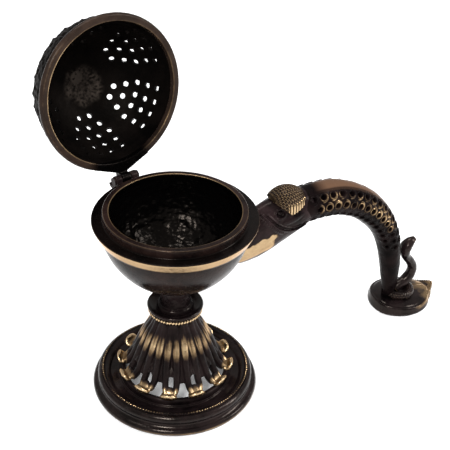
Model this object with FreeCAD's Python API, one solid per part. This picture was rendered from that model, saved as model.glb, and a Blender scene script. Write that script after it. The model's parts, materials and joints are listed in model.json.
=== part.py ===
import FreeCAD, Part

import math
import os

from FreeCAD import Matrix, Placement, Rotation, Vector

# ---------------------------------------------------------------------------
# Incense burner on a turned foot, with a pierced dome lid on a hinge and an
# arched makara handle that ends in a leaf foot.
# Units are millimetres. The origin is on the floor, on the axis of the base.
# +Z is up and +X runs from the base's axis along the handle.
# ---------------------------------------------------------------------------

# Driving dimensions
BASE_RADIUS = 48.0
BASE_EDGE = 2.4              # radius of the rolled lip round the base
BASE_TOP = 11.4              # height of the shoulder that carries the beads
BEAD_RING_RADIUS = 42.0
BEAD_RADIUS = 1.0
BEAD_SINK = 0.4              # depth of the groove that the beads sit in

PETAL_COUNT = 12
PETAL_BEARING = -3.0         # degrees from the handle to the first petal
PETAL_TIP_RADIUS = 33.0
PETAL_TIP_HEIGHT = 16.0
PEDESTAL_TOP = 52.5
WASHER_SEAT = 48.0           # underside of the pedestal's top, where the tie bolt pulls
SLOT_START = 16.5            # distance from the axis where the slot cutters begin
SLOT_DEPTH = 20.0
SEAM_BEARING = 4.8           # degrees; keeps the bell's seam between two slots

COLLAR_RADIUS = 15.9
COLLAR_TOP = 58.6
NECK_BOTTOM = 56.0
NECK_TOP = 73.4
BOWL_BOTTOM = 75.8
BOWL_FLOOR = 79.6
BELLY_BOTTOM_RADIUS = 14.4
BELLY_VIA = (32.4, 90.0)
BELLY_TOP = (40.9, 110.1)

FLANGE_RADIUS = 45.2
FLANGE_TOP = 116.5
RIM_RADIUS = 39.1
RIM_INNER = 35.4
RIM_TOP = 121.4

HINGE_BEARING = 97.2         # degrees from the handle, counter-clockwise seen from above
HINGE_RADIUS = 49.6
HINGE_HEIGHT = 115.5
KNUCKLE_RADIUS = 3.0
PIN_RADIUS = 1.5
PIN_FIT = 0.05               # radial running clearance in the lid's lug
LUG_HALF_WIDTH = 2.8
EAR_GAP = 0.3
EAR_THICKNESS = 4.0
LID_OPEN_ANGLE = 99.7        # degrees from closed to the stop

LID_CLEARANCE = 0.3
LID_RING_INNER = 39.8
LID_RING_OUTER = 44.2
LID_RING_THICKNESS = 4.0
DOME_RADIUS = 43.4
DOME_WALL = 3.9
DOME_BASE_RADIUS = 43.35
HOLE_DIAMETER = 3.4
FINIAL_STEM = 1.6
HOLE_CLUSTERS = 6
# One cluster of piercings: angle from the dome's axis, then offsets round it.
HOLE_ROWS = (
    (34.0, (-8.5, 8.5)),
    (43.5, (-15.0, 0.0, 15.0)),
    (53.0, (-19.0, -6.0, 6.0, 19.0)),
    (62.5, (-18.0, -5.5, 5.5, 18.0)),
    (72.0, (-17.5, -5.5, 5.5, 17.5)),
)

BOLT_RADIUS = 3.0
BOLT_CLEARANCE = 0.2
WASHER_THICKNESS = 1.4

HEAD_START = 84.0            # where the head ends and the arched body begins
SCALE_HOLE_DIAMETER = 2.3
HANDLE_WALL = 2.6

LEAF_START = 145.0
LEAF_TIP = 197.0
LEAF_HALF_WIDTH = 19.5
LEAF_EDGE = 2.6
LEAF_TOP = 8.0
COIL_CENTRE_X = 162.5
TAIL_X = 156.0
TAIL_BOTTOM = 7.2
SCREW_RADIUS = 1.5
SCREW_TIP = 19.4

LID_BOTTOM = FLANGE_TOP + LID_CLEARANCE
LID_RING_TOP = LID_BOTTOM + LID_RING_THICKNESS
DOME_CENTRE = LID_RING_TOP - math.sqrt(DOME_RADIUS ** 2 - DOME_BASE_RADIUS ** 2)
DOME_CROWN = DOME_CENTRE + DOME_RADIUS
UP = Vector(0, 0, 1)


# ---------------------------------------------------------------------------
# Helpers
# ---------------------------------------------------------------------------

class Outline:
    """A closed outline in the XZ plane, made of straight runs and three-point arcs."""

    def __init__(self, x, z):
        self.start = Vector(x, 0, z)
        self.at = self.start
        self.edges = []

    def line(self, x, z):
        end = Vector(x, 0, z)
        self.edges.append(Part.LineSegment(self.at, end).toShape())
        self.at = end
        return self

    def arc(self, via, end):
        middle = Vector(via[0], 0, via[1])
        last = Vector(end[0], 0, end[1])
        self.edges.append(Part.Arc(self.at, middle, last).toShape())
        self.at = last
        return self

    def face(self):
        if (self.at - self.start).Length > 1e-6:
            self.line(self.start.x, self.start.z)
        return Part.Face(Part.Wire(self.edges))

    def turned(self):
        """The solid that the outline sweeps round the Z axis."""
        return self.face().revolve(Vector(0, 0, 0), UP, 360)

    def plate(self, y_from, y_to):
        """The outline as a plate, from one Y to another."""
        blank = self.face().extrude(Vector(0, y_to - y_from, 0))
        return blank.translated(Vector(0, y_from, 0))


def ellipsoid(centre, semi_x, semi_y, semi_z):
    """A ball stretched to three half lengths and moved to its centre."""
    stretch = Matrix()
    stretch.scale(Vector(semi_x, semi_y, semi_z))
    return Part.makeSphere(1.0).transformGeometry(stretch).translated(centre)


def section(centre, direction, half_width, half_height):
    """An elliptical wire square to a direction in the XZ plane; the width lies along Y."""
    ahead = Vector(direction).normalize()
    across = Vector(0, 1, 0)
    if half_height > half_width:
        major = across.cross(ahead)
        curve = Part.Ellipse(Vector(), half_height, half_width)
    else:
        major = across
        curve = Part.Ellipse(Vector(), half_width, half_height)
    turn = Rotation(major, Vector(), ahead, "ZXY")
    edge = curve.toShape()
    edge.Placement = Placement(centre, turn)
    return Part.Wire([edge])


def round_section(centre, direction, radius):
    """A circular wire square to a direction in the XZ plane."""
    edge = Part.Circle(Vector(), UP, radius).toShape()
    edge.Placement = Placement(centre, Rotation(UP, direction))
    return Part.Wire([edge])


def tube_through(stations, inset=0.0):
    """A smooth solid through (x, z, diameter) stations in the XZ plane."""
    wires = []
    last = len(stations) - 1
    for index, (x, z, diameter) in enumerate(stations):
        before = stations[max(index - 1, 0)]
        after = stations[min(index + 1, last)]
        direction = Vector(after[0] - before[0], 0, after[1] - before[1])
        wires.append(round_section(Vector(x, 0, z), direction, diameter / 2 - inset))
    return Part.makeLoft(wires, True, False)


def around(shape, bearing):
    """A shape turned about the Z axis by a bearing in degrees."""
    turned = shape.copy()
    turned.rotate(Vector(0, 0, 0), UP, bearing)
    return turned


def to_hinge(shape):
    """Turns a shape built along +X so that it lies along the hinge's bearing."""
    return around(shape, HINGE_BEARING)


def opened(shape):
    """Swings a piece of the closed lid up to its stop."""
    bearing = math.radians(HINGE_BEARING)
    pivot = Vector(HINGE_RADIUS * math.cos(bearing), HINGE_RADIUS * math.sin(bearing), HINGE_HEIGHT)
    axis = Vector(-math.sin(bearing), math.cos(bearing), 0)
    swung = shape.copy()
    swung.rotate(pivot, axis, LID_OPEN_ANGLE)
    return swung


def wire_ring(radius, height, wire_radius):
    """A round wire closed into a ring; the chased beads on it are too small to model."""
    return Part.makeTorus(radius, wire_radius, Vector(0, 0, height), UP)


# ---------------------------------------------------------------------------
# Foot, pedestal and neck
# ---------------------------------------------------------------------------

def base_plate():
    """Turned, hollow underneath and open in the middle, standing on a flat ring."""
    outline = Outline(44.0, 0.0)
    outline.line(BASE_RADIUS - 1.6, 0.0)
    outline.arc((BASE_RADIUS, BASE_EDGE), (BASE_RADIUS - 1.4, 4.3))
    outline.arc((44.9, 5.2), (44.3, 7.0))
    outline.arc((45.0, 9.4), (43.4, BASE_TOP))
    outline.line(BEAD_RING_RADIUS + 0.9, BASE_TOP)
    outline.line(BEAD_RING_RADIUS + 0.9, BASE_TOP - BEAD_SINK)
    outline.line(BEAD_RING_RADIUS - 0.9, BASE_TOP - BEAD_SINK)
    outline.line(BEAD_RING_RADIUS - 0.9, BASE_TOP)
    outline.line(40.4, BASE_TOP)
    outline.arc((38.9, 10.6), (37.4, 9.2))
    outline.line(32.6, 8.4)
    outline.line(32.2, 9.6)
    outline.line(28.4, 9.6)
    outline.line(28.4, 6.4)
    outline.line(38.0, 6.4)
    outline.arc((41.6, 5.6), (42.6, 3.0))
    return outline.turned()


def base_bead_ring():
    """Wire in the groove on the base's shoulder."""
    return wire_ring(BEAD_RING_RADIUS, BASE_TOP - BEAD_SINK + BEAD_RADIUS, BEAD_RADIUS)


def pedestal_bell():
    """The plain bell: shoulder, flare and the ring that stands on the base."""
    outline = Outline(28.6, 9.6)
    outline.line(32.0, 9.6)
    outline.line(32.0, 11.6)
    outline.line(29.2, 14.6)
    outline.line(27.0, 19.0)
    outline.line(23.2, 29.0)
    outline.line(19.6, 37.0)
    outline.line(16.4, 43.2)
    outline.line(12.9, 48.6)
    outline.line(12.2, PEDESTAL_TOP)
    outline.line(BOLT_RADIUS + BOLT_CLEARANCE, PEDESTAL_TOP)
    outline.line(BOLT_RADIUS + BOLT_CLEARANCE, WASHER_SEAT)
    outline.line(10.2, WASHER_SEAT)
    outline.line(13.3, 42.6)
    outline.line(16.6, 36.4)
    outline.line(20.6, 28.0)
    outline.line(24.2, 18.6)
    outline.line(26.0, 14.6)
    outline.line(28.6, 11.4)
    return around(outline.turned(), SEAM_BEARING)


def slot_cutter(width, bottom, top, bearing):
    """A round-ended upright slot, cut outwards from inside the bell."""
    half = width / 2
    low = bottom + half
    high = top - half

    def corner(y, z):
        return Vector(SLOT_START, y, z)

    edges = [
        Part.LineSegment(corner(-half, low), corner(-half, high)).toShape(),
        Part.Arc(corner(-half, high), corner(0, top), corner(half, high)).toShape(),
        Part.LineSegment(corner(half, high), corner(half, low)).toShape(),
        Part.Arc(corner(half, low), corner(0, bottom), corner(-half, low)).toShape(),
    ]
    face = Part.Face(Part.Wire(edges))
    return around(face.extrude(Vector(SLOT_DEPTH, 0, 0)), bearing)


def petal_tip(bearing):
    """The upturned, bulbous end of one petal."""
    root = Vector(PETAL_TIP_RADIUS - 7.0, 0, PETAL_TIP_HEIGHT + 0.4)
    stalk = Part.makeCylinder(2.4, 5.6, root, Vector(1, 0, -0.25))
    bulb = Part.makeSphere(3.4, Vector(PETAL_TIP_RADIUS - 1.8, 0, PETAL_TIP_HEIGHT - 0.7))
    return around(stalk.fuse(bulb), bearing)


def lotus_pedestal():
    """Pierced bell with a slot in each petal and one between each pair of petals."""
    pitch = 360.0 / PETAL_COUNT
    cutters = []
    tips = []
    for index in range(PETAL_COUNT):
        bearing = index * pitch + PETAL_BEARING
        cutters.append(slot_cutter(2.8, 18.6, 34.0, bearing))
        cutters.append(slot_cutter(2.4, 13.4, 33.0, bearing + pitch / 2))
        tips.append(petal_tip(bearing))
    return pedestal_bell().cut(cutters).fuse(tips)


def knop_collar():
    """Dished collar with a thin rim."""
    outline = Outline(BOLT_RADIUS + BOLT_CLEARANCE, PEDESTAL_TOP)
    outline.line(12.4, PEDESTAL_TOP)
    outline.arc((13.4, 54.6), (14.4, 56.0))
    outline.arc((15.6, 57.0), (COLLAR_RADIUS, COLLAR_TOP - 0.6))
    outline.arc((15.5, COLLAR_TOP), (14.9, COLLAR_TOP - 0.5))
    outline.arc((12.6, 56.6), (10.4, NECK_BOTTOM))
    outline.line(BOLT_RADIUS + BOLT_CLEARANCE, NECK_BOTTOM)
    return outline.turned()


def knop_rope_ring():
    """Rope-edged wire that sits in the angle under the collar's rim."""
    return wire_ring(14.8, 54.9, 0.95)


def neck_spool():
    outline = Outline(BOLT_RADIUS + BOLT_CLEARANCE, NECK_BOTTOM)
    outline.line(10.2, NECK_BOTTOM)
    outline.arc((10.3, 58.2), (8.8, 59.4))
    outline.arc((8.5, 64.5), (9.2, 68.8))
    outline.arc((9.8, 71.4), (10.9, NECK_TOP))
    outline.line(BOLT_RADIUS + BOLT_CLEARANCE, NECK_TOP)
    return outline.turned()


def neck_ring():
    outline = Outline(BOLT_RADIUS + BOLT_CLEARANCE, NECK_TOP)
    outline.line(11.2, NECK_TOP)
    outline.arc((12.1, (NECK_TOP + BOWL_BOTTOM) / 2), (11.4, BOWL_BOTTOM))
    outline.line(BOLT_RADIUS + BOLT_CLEARANCE, BOWL_BOTTOM)
    return outline.turned()


def tie_bolt():
    """Bolt with a low round head inside the bowl; its end shows inside the pedestal."""
    head_radius = 6.0
    outline = Outline(0.0, 38.0)
    outline.line(BOLT_RADIUS - 0.6, 38.0)
    outline.line(BOLT_RADIUS, 38.6)
    outline.line(BOLT_RADIUS, BOWL_FLOOR)
    outline.line(head_radius, BOWL_FLOOR)
    outline.arc((5.2, BOWL_FLOOR + 1.4), (3.4, BOWL_FLOOR + 2.0))
    outline.line(0.0, BOWL_FLOOR + 2.0)
    return outline.turned()


def tie_washer():
    thickness = WASHER_THICKNESS
    outer = Part.makeCylinder(7.5, thickness, Vector(0, 0, WASHER_SEAT - thickness))
    bore = Part.makeCylinder(BOLT_RADIUS + BOLT_CLEARANCE, thickness, Vector(0, 0, WASHER_SEAT - thickness))
    return outer.cut(bore)


def tie_nut():
    across_flats = 10.0
    height = 5.0
    bottom = WASHER_SEAT - WASHER_THICKNESS - height
    corner = across_flats / math.sqrt(3)
    points = []
    for index in range(7):
        angle = math.radians(60 * index)
        points.append(Vector(corner * math.cos(angle), corner * math.sin(angle), bottom))
    blank = Part.Face(Part.makePolygon(points)).extrude(Vector(0, 0, height))
    return blank.cut(Part.makeCylinder(BOLT_RADIUS, height, Vector(0, 0, bottom)))


# ---------------------------------------------------------------------------
# Bowl and hinge
# ---------------------------------------------------------------------------

def bowl():
    """Cast bowl: round belly, bevelled band, flat flange and upstanding rim."""
    outline = Outline(BOLT_RADIUS + BOLT_CLEARANCE, BOWL_BOTTOM)
    outline.line(BELLY_BOTTOM_RADIUS, BOWL_BOTTOM)
    outline.arc(BELLY_VIA, BELLY_TOP)
    outline.line(42.5, 110.1)
    outline.line(FLANGE_RADIUS, FLANGE_TOP - 0.4)
    outline.line(FLANGE_RADIUS - 0.4, FLANGE_TOP)
    outline.line(RIM_RADIUS, FLANGE_TOP)
    outline.line(RIM_RADIUS, RIM_TOP - 0.7)
    outline.arc((RIM_RADIUS - 0.3, RIM_TOP - 0.2), (RIM_RADIUS - 1.0, RIM_TOP))
    outline.line(RIM_INNER + 0.8, RIM_TOP)
    outline.arc((RIM_INNER + 0.2, RIM_TOP - 0.2), (RIM_INNER, RIM_TOP - 0.9))
    outline.line(36.2, 111.0)
    outline.arc((30.0, 91.6), (7.0, BOWL_FLOOR))
    outline.line(BOLT_RADIUS + BOLT_CLEARANCE, BOWL_FLOOR)
    return outline.turned()


def bowl_envelope():
    """The bowl's outside as a full solid, for fitting other pieces against it."""
    outline = Outline(0.0, BOWL_BOTTOM)
    outline.line(BELLY_BOTTOM_RADIUS, BOWL_BOTTOM)
    outline.arc(BELLY_VIA, BELLY_TOP)
    outline.line(42.5, 110.1)
    outline.line(FLANGE_RADIUS, FLANGE_TOP - 0.4)
    outline.line(FLANGE_RADIUS - 0.4, FLANGE_TOP)
    outline.line(0.0, FLANGE_TOP)
    return outline.turned()


def hinge_axis_cylinder(radius, half_length):
    """A cylinder along the hinge line, in the frame where the hinge lies along +X."""
    start = Vector(HINGE_RADIUS, -half_length, HINGE_HEIGHT)
    return Part.makeCylinder(radius, 2 * half_length, start, Vector(0, 1, 0))


def hinge_bracket():
    """Fork on the back of the bowl: two ears and the shelf that stops the open lid."""
    inner = LUG_HALF_WIDTH + EAR_GAP
    outer = inner + EAR_THICKNESS
    shelf_top = 111.6
    shelf = Outline(40.0, 108.4).line(51.0, 108.4)
    shelf.arc((55.2, 109.4), (56.4, shelf_top))
    shelf.line(40.0, shelf_top)
    bracket = shelf.plate(-outer, outer)
    for y_from, y_to in ((-outer, -inner), (inner, outer)):
        ear = Outline(42.0, 109.0)
        ear.line(52.0, 109.0)
        ear.line(HINGE_RADIUS + KNUCKLE_RADIUS, HINGE_HEIGHT)
        ear.arc((HINGE_RADIUS, HINGE_HEIGHT + KNUCKLE_RADIUS), (HINGE_RADIUS - KNUCKLE_RADIUS, HINGE_HEIGHT))
        ear.line(42.0, HINGE_HEIGHT)
        bracket = bracket.fuse(ear.plate(y_from, y_to))
    bracket = bracket.cut(hinge_axis_cylinder(PIN_RADIUS, outer + 1))
    bracket = bracket.cut(bowl_envelope())
    return to_hinge(bracket.removeSplitter())


def hinge_pin():
    """Plain pin with peened heads outside the ears."""
    half_fork = LUG_HALF_WIDTH + EAR_GAP + EAR_THICKNESS
    head_thickness = 0.9
    head_radius = 2.3
    pin = hinge_axis_cylinder(PIN_RADIUS, half_fork)
    for side in (-1, 1):
        start = Vector(HINGE_RADIUS, side * half_fork, HINGE_HEIGHT)
        head = Part.makeCylinder(head_radius, head_thickness, start, Vector(0, side, 0))
        pin = pin.fuse(head)
    return to_hinge(pin.removeSplitter())


# ---------------------------------------------------------------------------
# Handle
# ---------------------------------------------------------------------------

# Centreline of the arched body: x, z and diameter.
HANDLE_STATIONS = (
    (HEAD_START, 99.7, 21.3),
    (94.2, 99.7, 21.6),
    (106.0, 97.9, 21.4),
    (119.8, 91.6, 20.6),
    (131.0, 83.0, 19.8),
    (139.0, 74.1, 18.4),
    (144.1, 66.3, 17.1),
    (148.2, 57.7, 16.0),
    (151.5, 47.1, 14.5),
    (153.8, 35.7, 13.0),
    (155.0, 25.9, 11.2),
    (155.7, 18.0, 9.4),
    (TAIL_X, 12.0, 8.8),
    (TAIL_X, TAIL_BOTTOM, 8.6),
)
HOLLOW_STATIONS = HANDLE_STATIONS[1:9]

# Sections of the head, from the neck to the chin: x, half width, lowest and highest point.
HEAD_SECTIONS = (
    (HEAD_START, 10.65, 89.05, 110.35),
    (76.0, 10.4, 84.6, 110.4),
    (67.0, 10.0, 80.2, 110.0),
    (59.0, 9.6, 76.4, 108.8),
    (52.0, 9.0, 74.0, 106.4),
    (45.0, 8.4, 72.8, 103.0),
    (38.0, 7.6, 73.0, 98.0),
    (31.0, 5.4, 77.0, 92.0),
)
EYE_RADIUS = 2.2


def head_blank():
    wires = []
    for x, half_width, low, high in HEAD_SECTIONS:
        centre = Vector(x, 0, (low + high) / 2)
        wires.append(section(centre, (-1, 0, 0), half_width, (high - low) / 2))
    return Part.makeLoft(wires, True, False)


def eye_balls():
    balls = []
    for side in (-1, 1):
        balls.append(Part.makeSphere(EYE_RADIUS, Vector(62.5, side * 7.6, 103.4)))
    return balls


def mouth_cutter():
    """The slit of the mouth between the two jaws, cut in from both cheeks."""
    slit = Outline(44.0, 109.0)
    slit.arc((52.5, 104.4), (60.4, 96.6))
    slit.arc((66.0, 92.6), (78.0, 93.0))
    slit.arc((65.0, 90.8), (59.0, 95.4))
    slit.arc((51.0, 102.6), (42.0, 107.0))
    through = slit.plate(-15, 15)
    core = Part.makeBox(60, 13, 60, Vector(20, -6.5, 70))
    return through.cut(core)


def makara_head():
    """Open-mouthed head, shaped to the bowl's belly where it grips it."""
    head = head_blank().cut(bowl_envelope())
    head = head.cut(mouth_cutter())
    return head.cut(eye_balls())


def makara_eyes():
    return Part.makeCompound(eye_balls())


def head_crest():
    """Ribbed cap that rides on top of the head."""
    cap = ellipsoid(Vector(69.2, 0, 104.6), 13.0, 10.6, 10.8)
    above_brow = Outline(68.5, 103.2).line(86.0, 110.6).line(86.0, 120.0).line(50.0, 120.0).line(50.0, 116.4)
    return cap.common(above_brow.plate(-12, 12)).cut(head_blank())


def point_on_handle(progress):
    """Centre, direction and radius at a fraction of the way along the stations."""
    span = progress * (len(HANDLE_STATIONS) - 1)
    index = min(int(span), len(HANDLE_STATIONS) - 2)
    blend = span - index
    here = HANDLE_STATIONS[index]
    there = HANDLE_STATIONS[index + 1]
    centre = Vector(here[0] + (there[0] - here[0]) * blend, 0, here[1] + (there[1] - here[1]) * blend)
    direction = Vector(there[0] - here[0], 0, there[1] - here[1]).normalize()
    return centre, direction, (here[2] + (there[2] - here[2]) * blend) / 2


def scale_holes():
    """Drillings into the hollow body: three staggered rows on each flank."""
    holes = []
    rows = ((39.0, 0.5), (3.0, 0.0), (-40.0, 0.5))
    columns = 14
    for lift, stagger in rows:
        for column in range(columns):
            progress = 0.05 + 0.50 * (column + stagger) / columns
            centre, direction, radius = point_on_handle(progress)
            above = Vector(0, 1, 0).cross(direction).normalize()
            if above.z < 0 and above.x < 0:
                above = above.negative()
            for side in (-1, 1):
                angle = math.radians(lift)
                outward = Vector(0, side * math.cos(angle), 0) + above * math.sin(angle)
                start = centre + outward * (radius * 0.45)
                holes.append(Part.makeCylinder(SCALE_HOLE_DIAMETER / 2, radius, start, outward))
    return holes


def handle_body():
    """Arched body, hollow where it is drilled, running down into a solid tail."""
    outside = tube_through(HANDLE_STATIONS)
    hollow = tube_through(HOLLOW_STATIONS, HANDLE_WALL)
    body = outside.cut(hollow).cut(scale_holes())
    return body.cut(Part.makeCylinder(SCREW_RADIUS, SCREW_TIP - TAIL_BOTTOM, Vector(TAIL_X, 0, TAIL_BOTTOM)))


# ---------------------------------------------------------------------------
# Leaf foot and snake
# ---------------------------------------------------------------------------

def leaf_blank(height):
    """The outline of a fig leaf, round towards the bowl and pointed outwards."""
    widest = 162.0
    edges = []
    for side in (-1, 1):
        poles = [
            Vector(LEAF_START, 0, 0),
            Vector(LEAF_START, side * LEAF_HALF_WIDTH * 0.62, 0),
            Vector(152.0, side * LEAF_HALF_WIDTH * 1.0, 0),
            Vector(widest, side * LEAF_HALF_WIDTH * 1.03, 0),
            Vector(177.0, side * LEAF_HALF_WIDTH, 0),
            Vector(186.0, side * LEAF_HALF_WIDTH * 0.5, 0),
            Vector(LEAF_TIP, side * 1.0, 0),
        ]
        curve = Part.BSplineCurve()
        curve.buildFromPoles(poles, False, 3)
        edges.append(curve.toShape())
    edges.append(Part.LineSegment(Vector(LEAF_TIP, -1.0, 0), Vector(LEAF_TIP, 1.0, 0)).toShape())
    wire = Part.Wire(Part.__sortEdges__(edges))
    return Part.Face(wire).extrude(Vector(0, 0, height))


def leaf_swell():
    """The low dome that rises from the leaf's plate."""
    return ellipsoid(Vector(160.0, 0, 0.0), 30.0, 22.0, LEAF_TOP)


def leaf_foot():
    """Leaf-shaped foot: a flat plate that swells up to the root of the tail."""
    leaf = leaf_blank(LEAF_EDGE).fuse(leaf_swell().common(leaf_blank(LEAF_TOP)))
    seat = Part.makeCylinder(4.45, LEAF_TOP, Vector(TAIL_X, 0, TAIL_BOTTOM))
    return leaf.cut([seat, screw_blank(), Part.makeCylinder(3.2, 0.6, Vector(TAIL_X, 0, 0))])


def screw_blank():
    """A countersunk screw without its slot, sunk 0.6 mm above the floor."""
    outline = Outline(0.0, 0.6)
    outline.line(3.2, 0.6)
    outline.line(SCREW_RADIUS, 2.3)
    outline.line(SCREW_RADIUS, SCREW_TIP)
    outline.line(0.0, SCREW_TIP)
    return outline.turned().translated(Vector(TAIL_X, 0, 0))


def foot_screw():
    slot = Part.makeBox(8, 0.9, 0.8, Vector(TAIL_X - 4, -0.45, 0.4))
    return screw_blank().cut(slot)


def coil_blank():
    return Part.makeTorus(8.2, 2.6, Vector(COIL_CENTRE_X, 0, 9.4), UP)


def snake_coil():
    """One turn of the snake, lying on the leaf round the tail's root."""
    return coil_blank().cut([tube_through(HANDLE_STATIONS), leaf_swell()])


# Centreline of the rising snake: x, z and diameter.
COBRA_STATIONS = (
    (161.0, 10.6, 5.8),
    (164.8, 12.8, 6.2),
    (169.4, 15.0, 6.4),
    (173.2, 19.2, 6.2),
    (173.9, 24.4, 5.8),
    (171.2, 29.8, 5.2),
    (167.6, 34.4, 5.2),
    (165.8, 38.8, 6.4),
    (166.4, 43.0, 7.2),
    (169.2, 45.8, 6.0),
    (172.8, 47.2, 3.0),
)


def cobra():
    return tube_through(COBRA_STATIONS).cut([tube_through(HANDLE_STATIONS), coil_blank(), leaf_swell()])


# ---------------------------------------------------------------------------
# Lid (modelled closed, then swung open)
# ---------------------------------------------------------------------------

def lid_tab():
    """Teardrop that runs from the ring to the hinge lug, with straight tangent sides."""
    tip = Vector(HINGE_RADIUS - 3.3, LUG_HALF_WIDTH, 0)
    reach = math.hypot(tip.x, tip.y)
    touch = math.atan2(tip.y, tip.x) + math.acos(LID_RING_OUTER / reach)
    near = Vector(LID_RING_OUTER * math.cos(touch), LID_RING_OUTER * math.sin(touch), 0)
    points = [
        Vector(20, near.y, 0),
        near,
        tip,
        Vector(tip.x, -tip.y, 0),
        Vector(near.x, -near.y, 0),
        Vector(20, -near.y, 0),
        Vector(20, near.y, 0),
    ]
    blank = Part.Face(Part.makePolygon(points)).extrude(Vector(0, 0, LID_RING_THICKNESS))
    return blank.translated(Vector(0, 0, LID_BOTTOM))


def lid_lug():
    """The lug between the ears; its square heel meets the stop shelf."""
    heel = HINGE_RADIUS + 2.8
    lug = Outline(44.5, LID_BOTTOM)
    lug.line(HINGE_RADIUS - 2.6, LID_BOTTOM)
    lug.line(HINGE_RADIUS - KNUCKLE_RADIUS, HINGE_HEIGHT)
    lug.arc((HINGE_RADIUS, HINGE_HEIGHT - KNUCKLE_RADIUS), (HINGE_RADIUS + KNUCKLE_RADIUS, HINGE_HEIGHT))
    lug.line(heel, LID_BOTTOM + 1.0)
    lug.line(heel, LID_RING_TOP)
    lug.line(44.5, LID_RING_TOP)
    return lug.plate(-LUG_HALF_WIDTH, LUG_HALF_WIDTH)


def lid_rim_ring():
    """Rounded ring with its teardrop tab and hinge lug."""
    ring = Outline(LID_RING_INNER, LID_BOTTOM)
    ring.line(LID_RING_OUTER - 1.2, LID_BOTTOM)
    ring.arc((LID_RING_OUTER, LID_BOTTOM + 1.6), (LID_RING_OUTER - 0.6, LID_RING_TOP - 0.3))
    ring.line(LID_RING_OUTER - 0.8, LID_RING_TOP)
    ring.line(LID_RING_INNER, LID_RING_TOP)
    tab = to_hinge(lid_tab().fuse(lid_lug()))
    bore = Part.makeCylinder(LID_RING_INNER, LID_RING_THICKNESS, Vector(0, 0, LID_BOTTOM))
    solid = ring.turned().fuse(tab.cut(bore))
    pin_bore = to_hinge(hinge_axis_cylinder(PIN_RADIUS + PIN_FIT, LUG_HALF_WIDTH + 1))
    return opened(solid.removeSplitter().cut(pin_bore))


def dome_shell():
    centre = Vector(0, 0, DOME_CENTRE)
    outer = Part.makeSphere(DOME_RADIUS, centre)
    inner = Part.makeSphere(DOME_RADIUS - DOME_WALL, centre)
    above = Part.makeBox(100, 100, 60, Vector(-50, -50, LID_RING_TOP))
    return outer.cut(inner).common(above)


def dome_holes():
    """Six clusters of piercings, each drilled square to the dome."""
    centre = Vector(0, 0, DOME_CENTRE)
    holes = []
    for cluster in range(HOLE_CLUSTERS):
        middle = HINGE_BEARING + 3.0 + cluster * 360.0 / HOLE_CLUSTERS
        for polar, offsets in HOLE_ROWS:
            for offset in offsets:
                tilt = math.radians(polar)
                bearing = math.radians(middle + offset)
                outward = Vector(math.sin(tilt) * math.cos(bearing),
                                 math.sin(tilt) * math.sin(bearing), math.cos(tilt))
                start = centre + outward * (DOME_RADIUS - DOME_WALL - 2)
                holes.append(Part.makeCylinder(HOLE_DIAMETER / 2, DOME_WALL + 4, start, outward))
    return holes


def stem_hole():
    return Part.makeCylinder(FINIAL_STEM, 10, Vector(0, 0, DOME_CROWN - 8))


def lid_dome():
    return opened(dome_shell().cut(dome_holes()).cut(stem_hole()))


def lid_finial():
    """Bud on a short stem; the stem goes through the crown."""
    foot = DOME_CROWN + 0.6
    outline = Outline(0.0, DOME_CROWN - DOME_WALL - 1.6)
    outline.line(FINIAL_STEM, DOME_CROWN - DOME_WALL - 1.6)
    outline.line(FINIAL_STEM, DOME_CROWN - 0.6)
    outline.line(6.2, DOME_CROWN - 0.6)
    outline.arc((6.6, DOME_CROWN + 0.4), (5.6, foot + 0.6))
    outline.arc((3.4, foot + 1.6), (2.8, foot + 3.4))
    outline.arc((4.8, foot + 7.4), (2.6, foot + 11.0))
    outline.line(1.0, foot + 13.4)
    outline.line(0.0, foot + 13.4)
    finial = outline.turned().cut(dome_shell().cut(stem_hole()))
    return opened(finial)


def finial_rove():
    """Rove that the stem is peened over, bearing on the inside of the crown."""
    crown_inside = DOME_CENTRE + DOME_RADIUS - DOME_WALL
    blank = Part.makeCylinder(5.0, 2.0, Vector(0, 0, crown_inside - 1.6))
    inside = Part.makeSphere(DOME_RADIUS - DOME_WALL, Vector(0, 0, DOME_CENTRE))
    return opened(blank.common(inside).cut(stem_hole()))


# ---------------------------------------------------------------------------
# Export
# ---------------------------------------------------------------------------

NODES = {
    "base_plate": base_plate,
    "base_bead_ring": base_bead_ring,
    "lotus_pedestal": lotus_pedestal,
    "knop_collar": knop_collar,
    "knop_rope_ring": knop_rope_ring,
    "neck_spool": neck_spool,
    "neck_ring": neck_ring,
    "tie_bolt": tie_bolt,
    "tie_washer": tie_washer,
    "tie_nut": tie_nut,
    "bowl": bowl,
    "hinge_bracket": hinge_bracket,
    "hinge_pin": hinge_pin,
    "makara_head": makara_head,
    "head_crest": head_crest,
    "makara_eyes": makara_eyes,
    "handle_body": handle_body,
    "leaf_foot": leaf_foot,
    "snake_coil": snake_coil,
    "cobra": cobra,
    "foot_screw": foot_screw,
    "lid_rim_ring": lid_rim_ring,
    "lid_dome": lid_dome,
    "lid_finial": lid_finial,
    "finial_rove": finial_rove,
}

os.makedirs("parts", exist_ok=True)
for name, build in NODES.items():
    shape = build()
    box = shape.BoundBox
    print(f"{name:16s} solids {len(shape.Solids)} valid {shape.isValid()} volume {shape.Volume:9.1f}"
          f"  x {box.XMin:.1f}..{box.XMax:.1f}  y {box.YMin:.1f}..{box.YMax:.1f}"
          f"  z {box.ZMin:.1f}..{box.ZMax:.1f}")
    shape.exportStep(f"parts/{name}.step")
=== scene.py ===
import json
import math

import bmesh
import bpy
import numpy as np
from mathutils import Matrix, Vector


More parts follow.
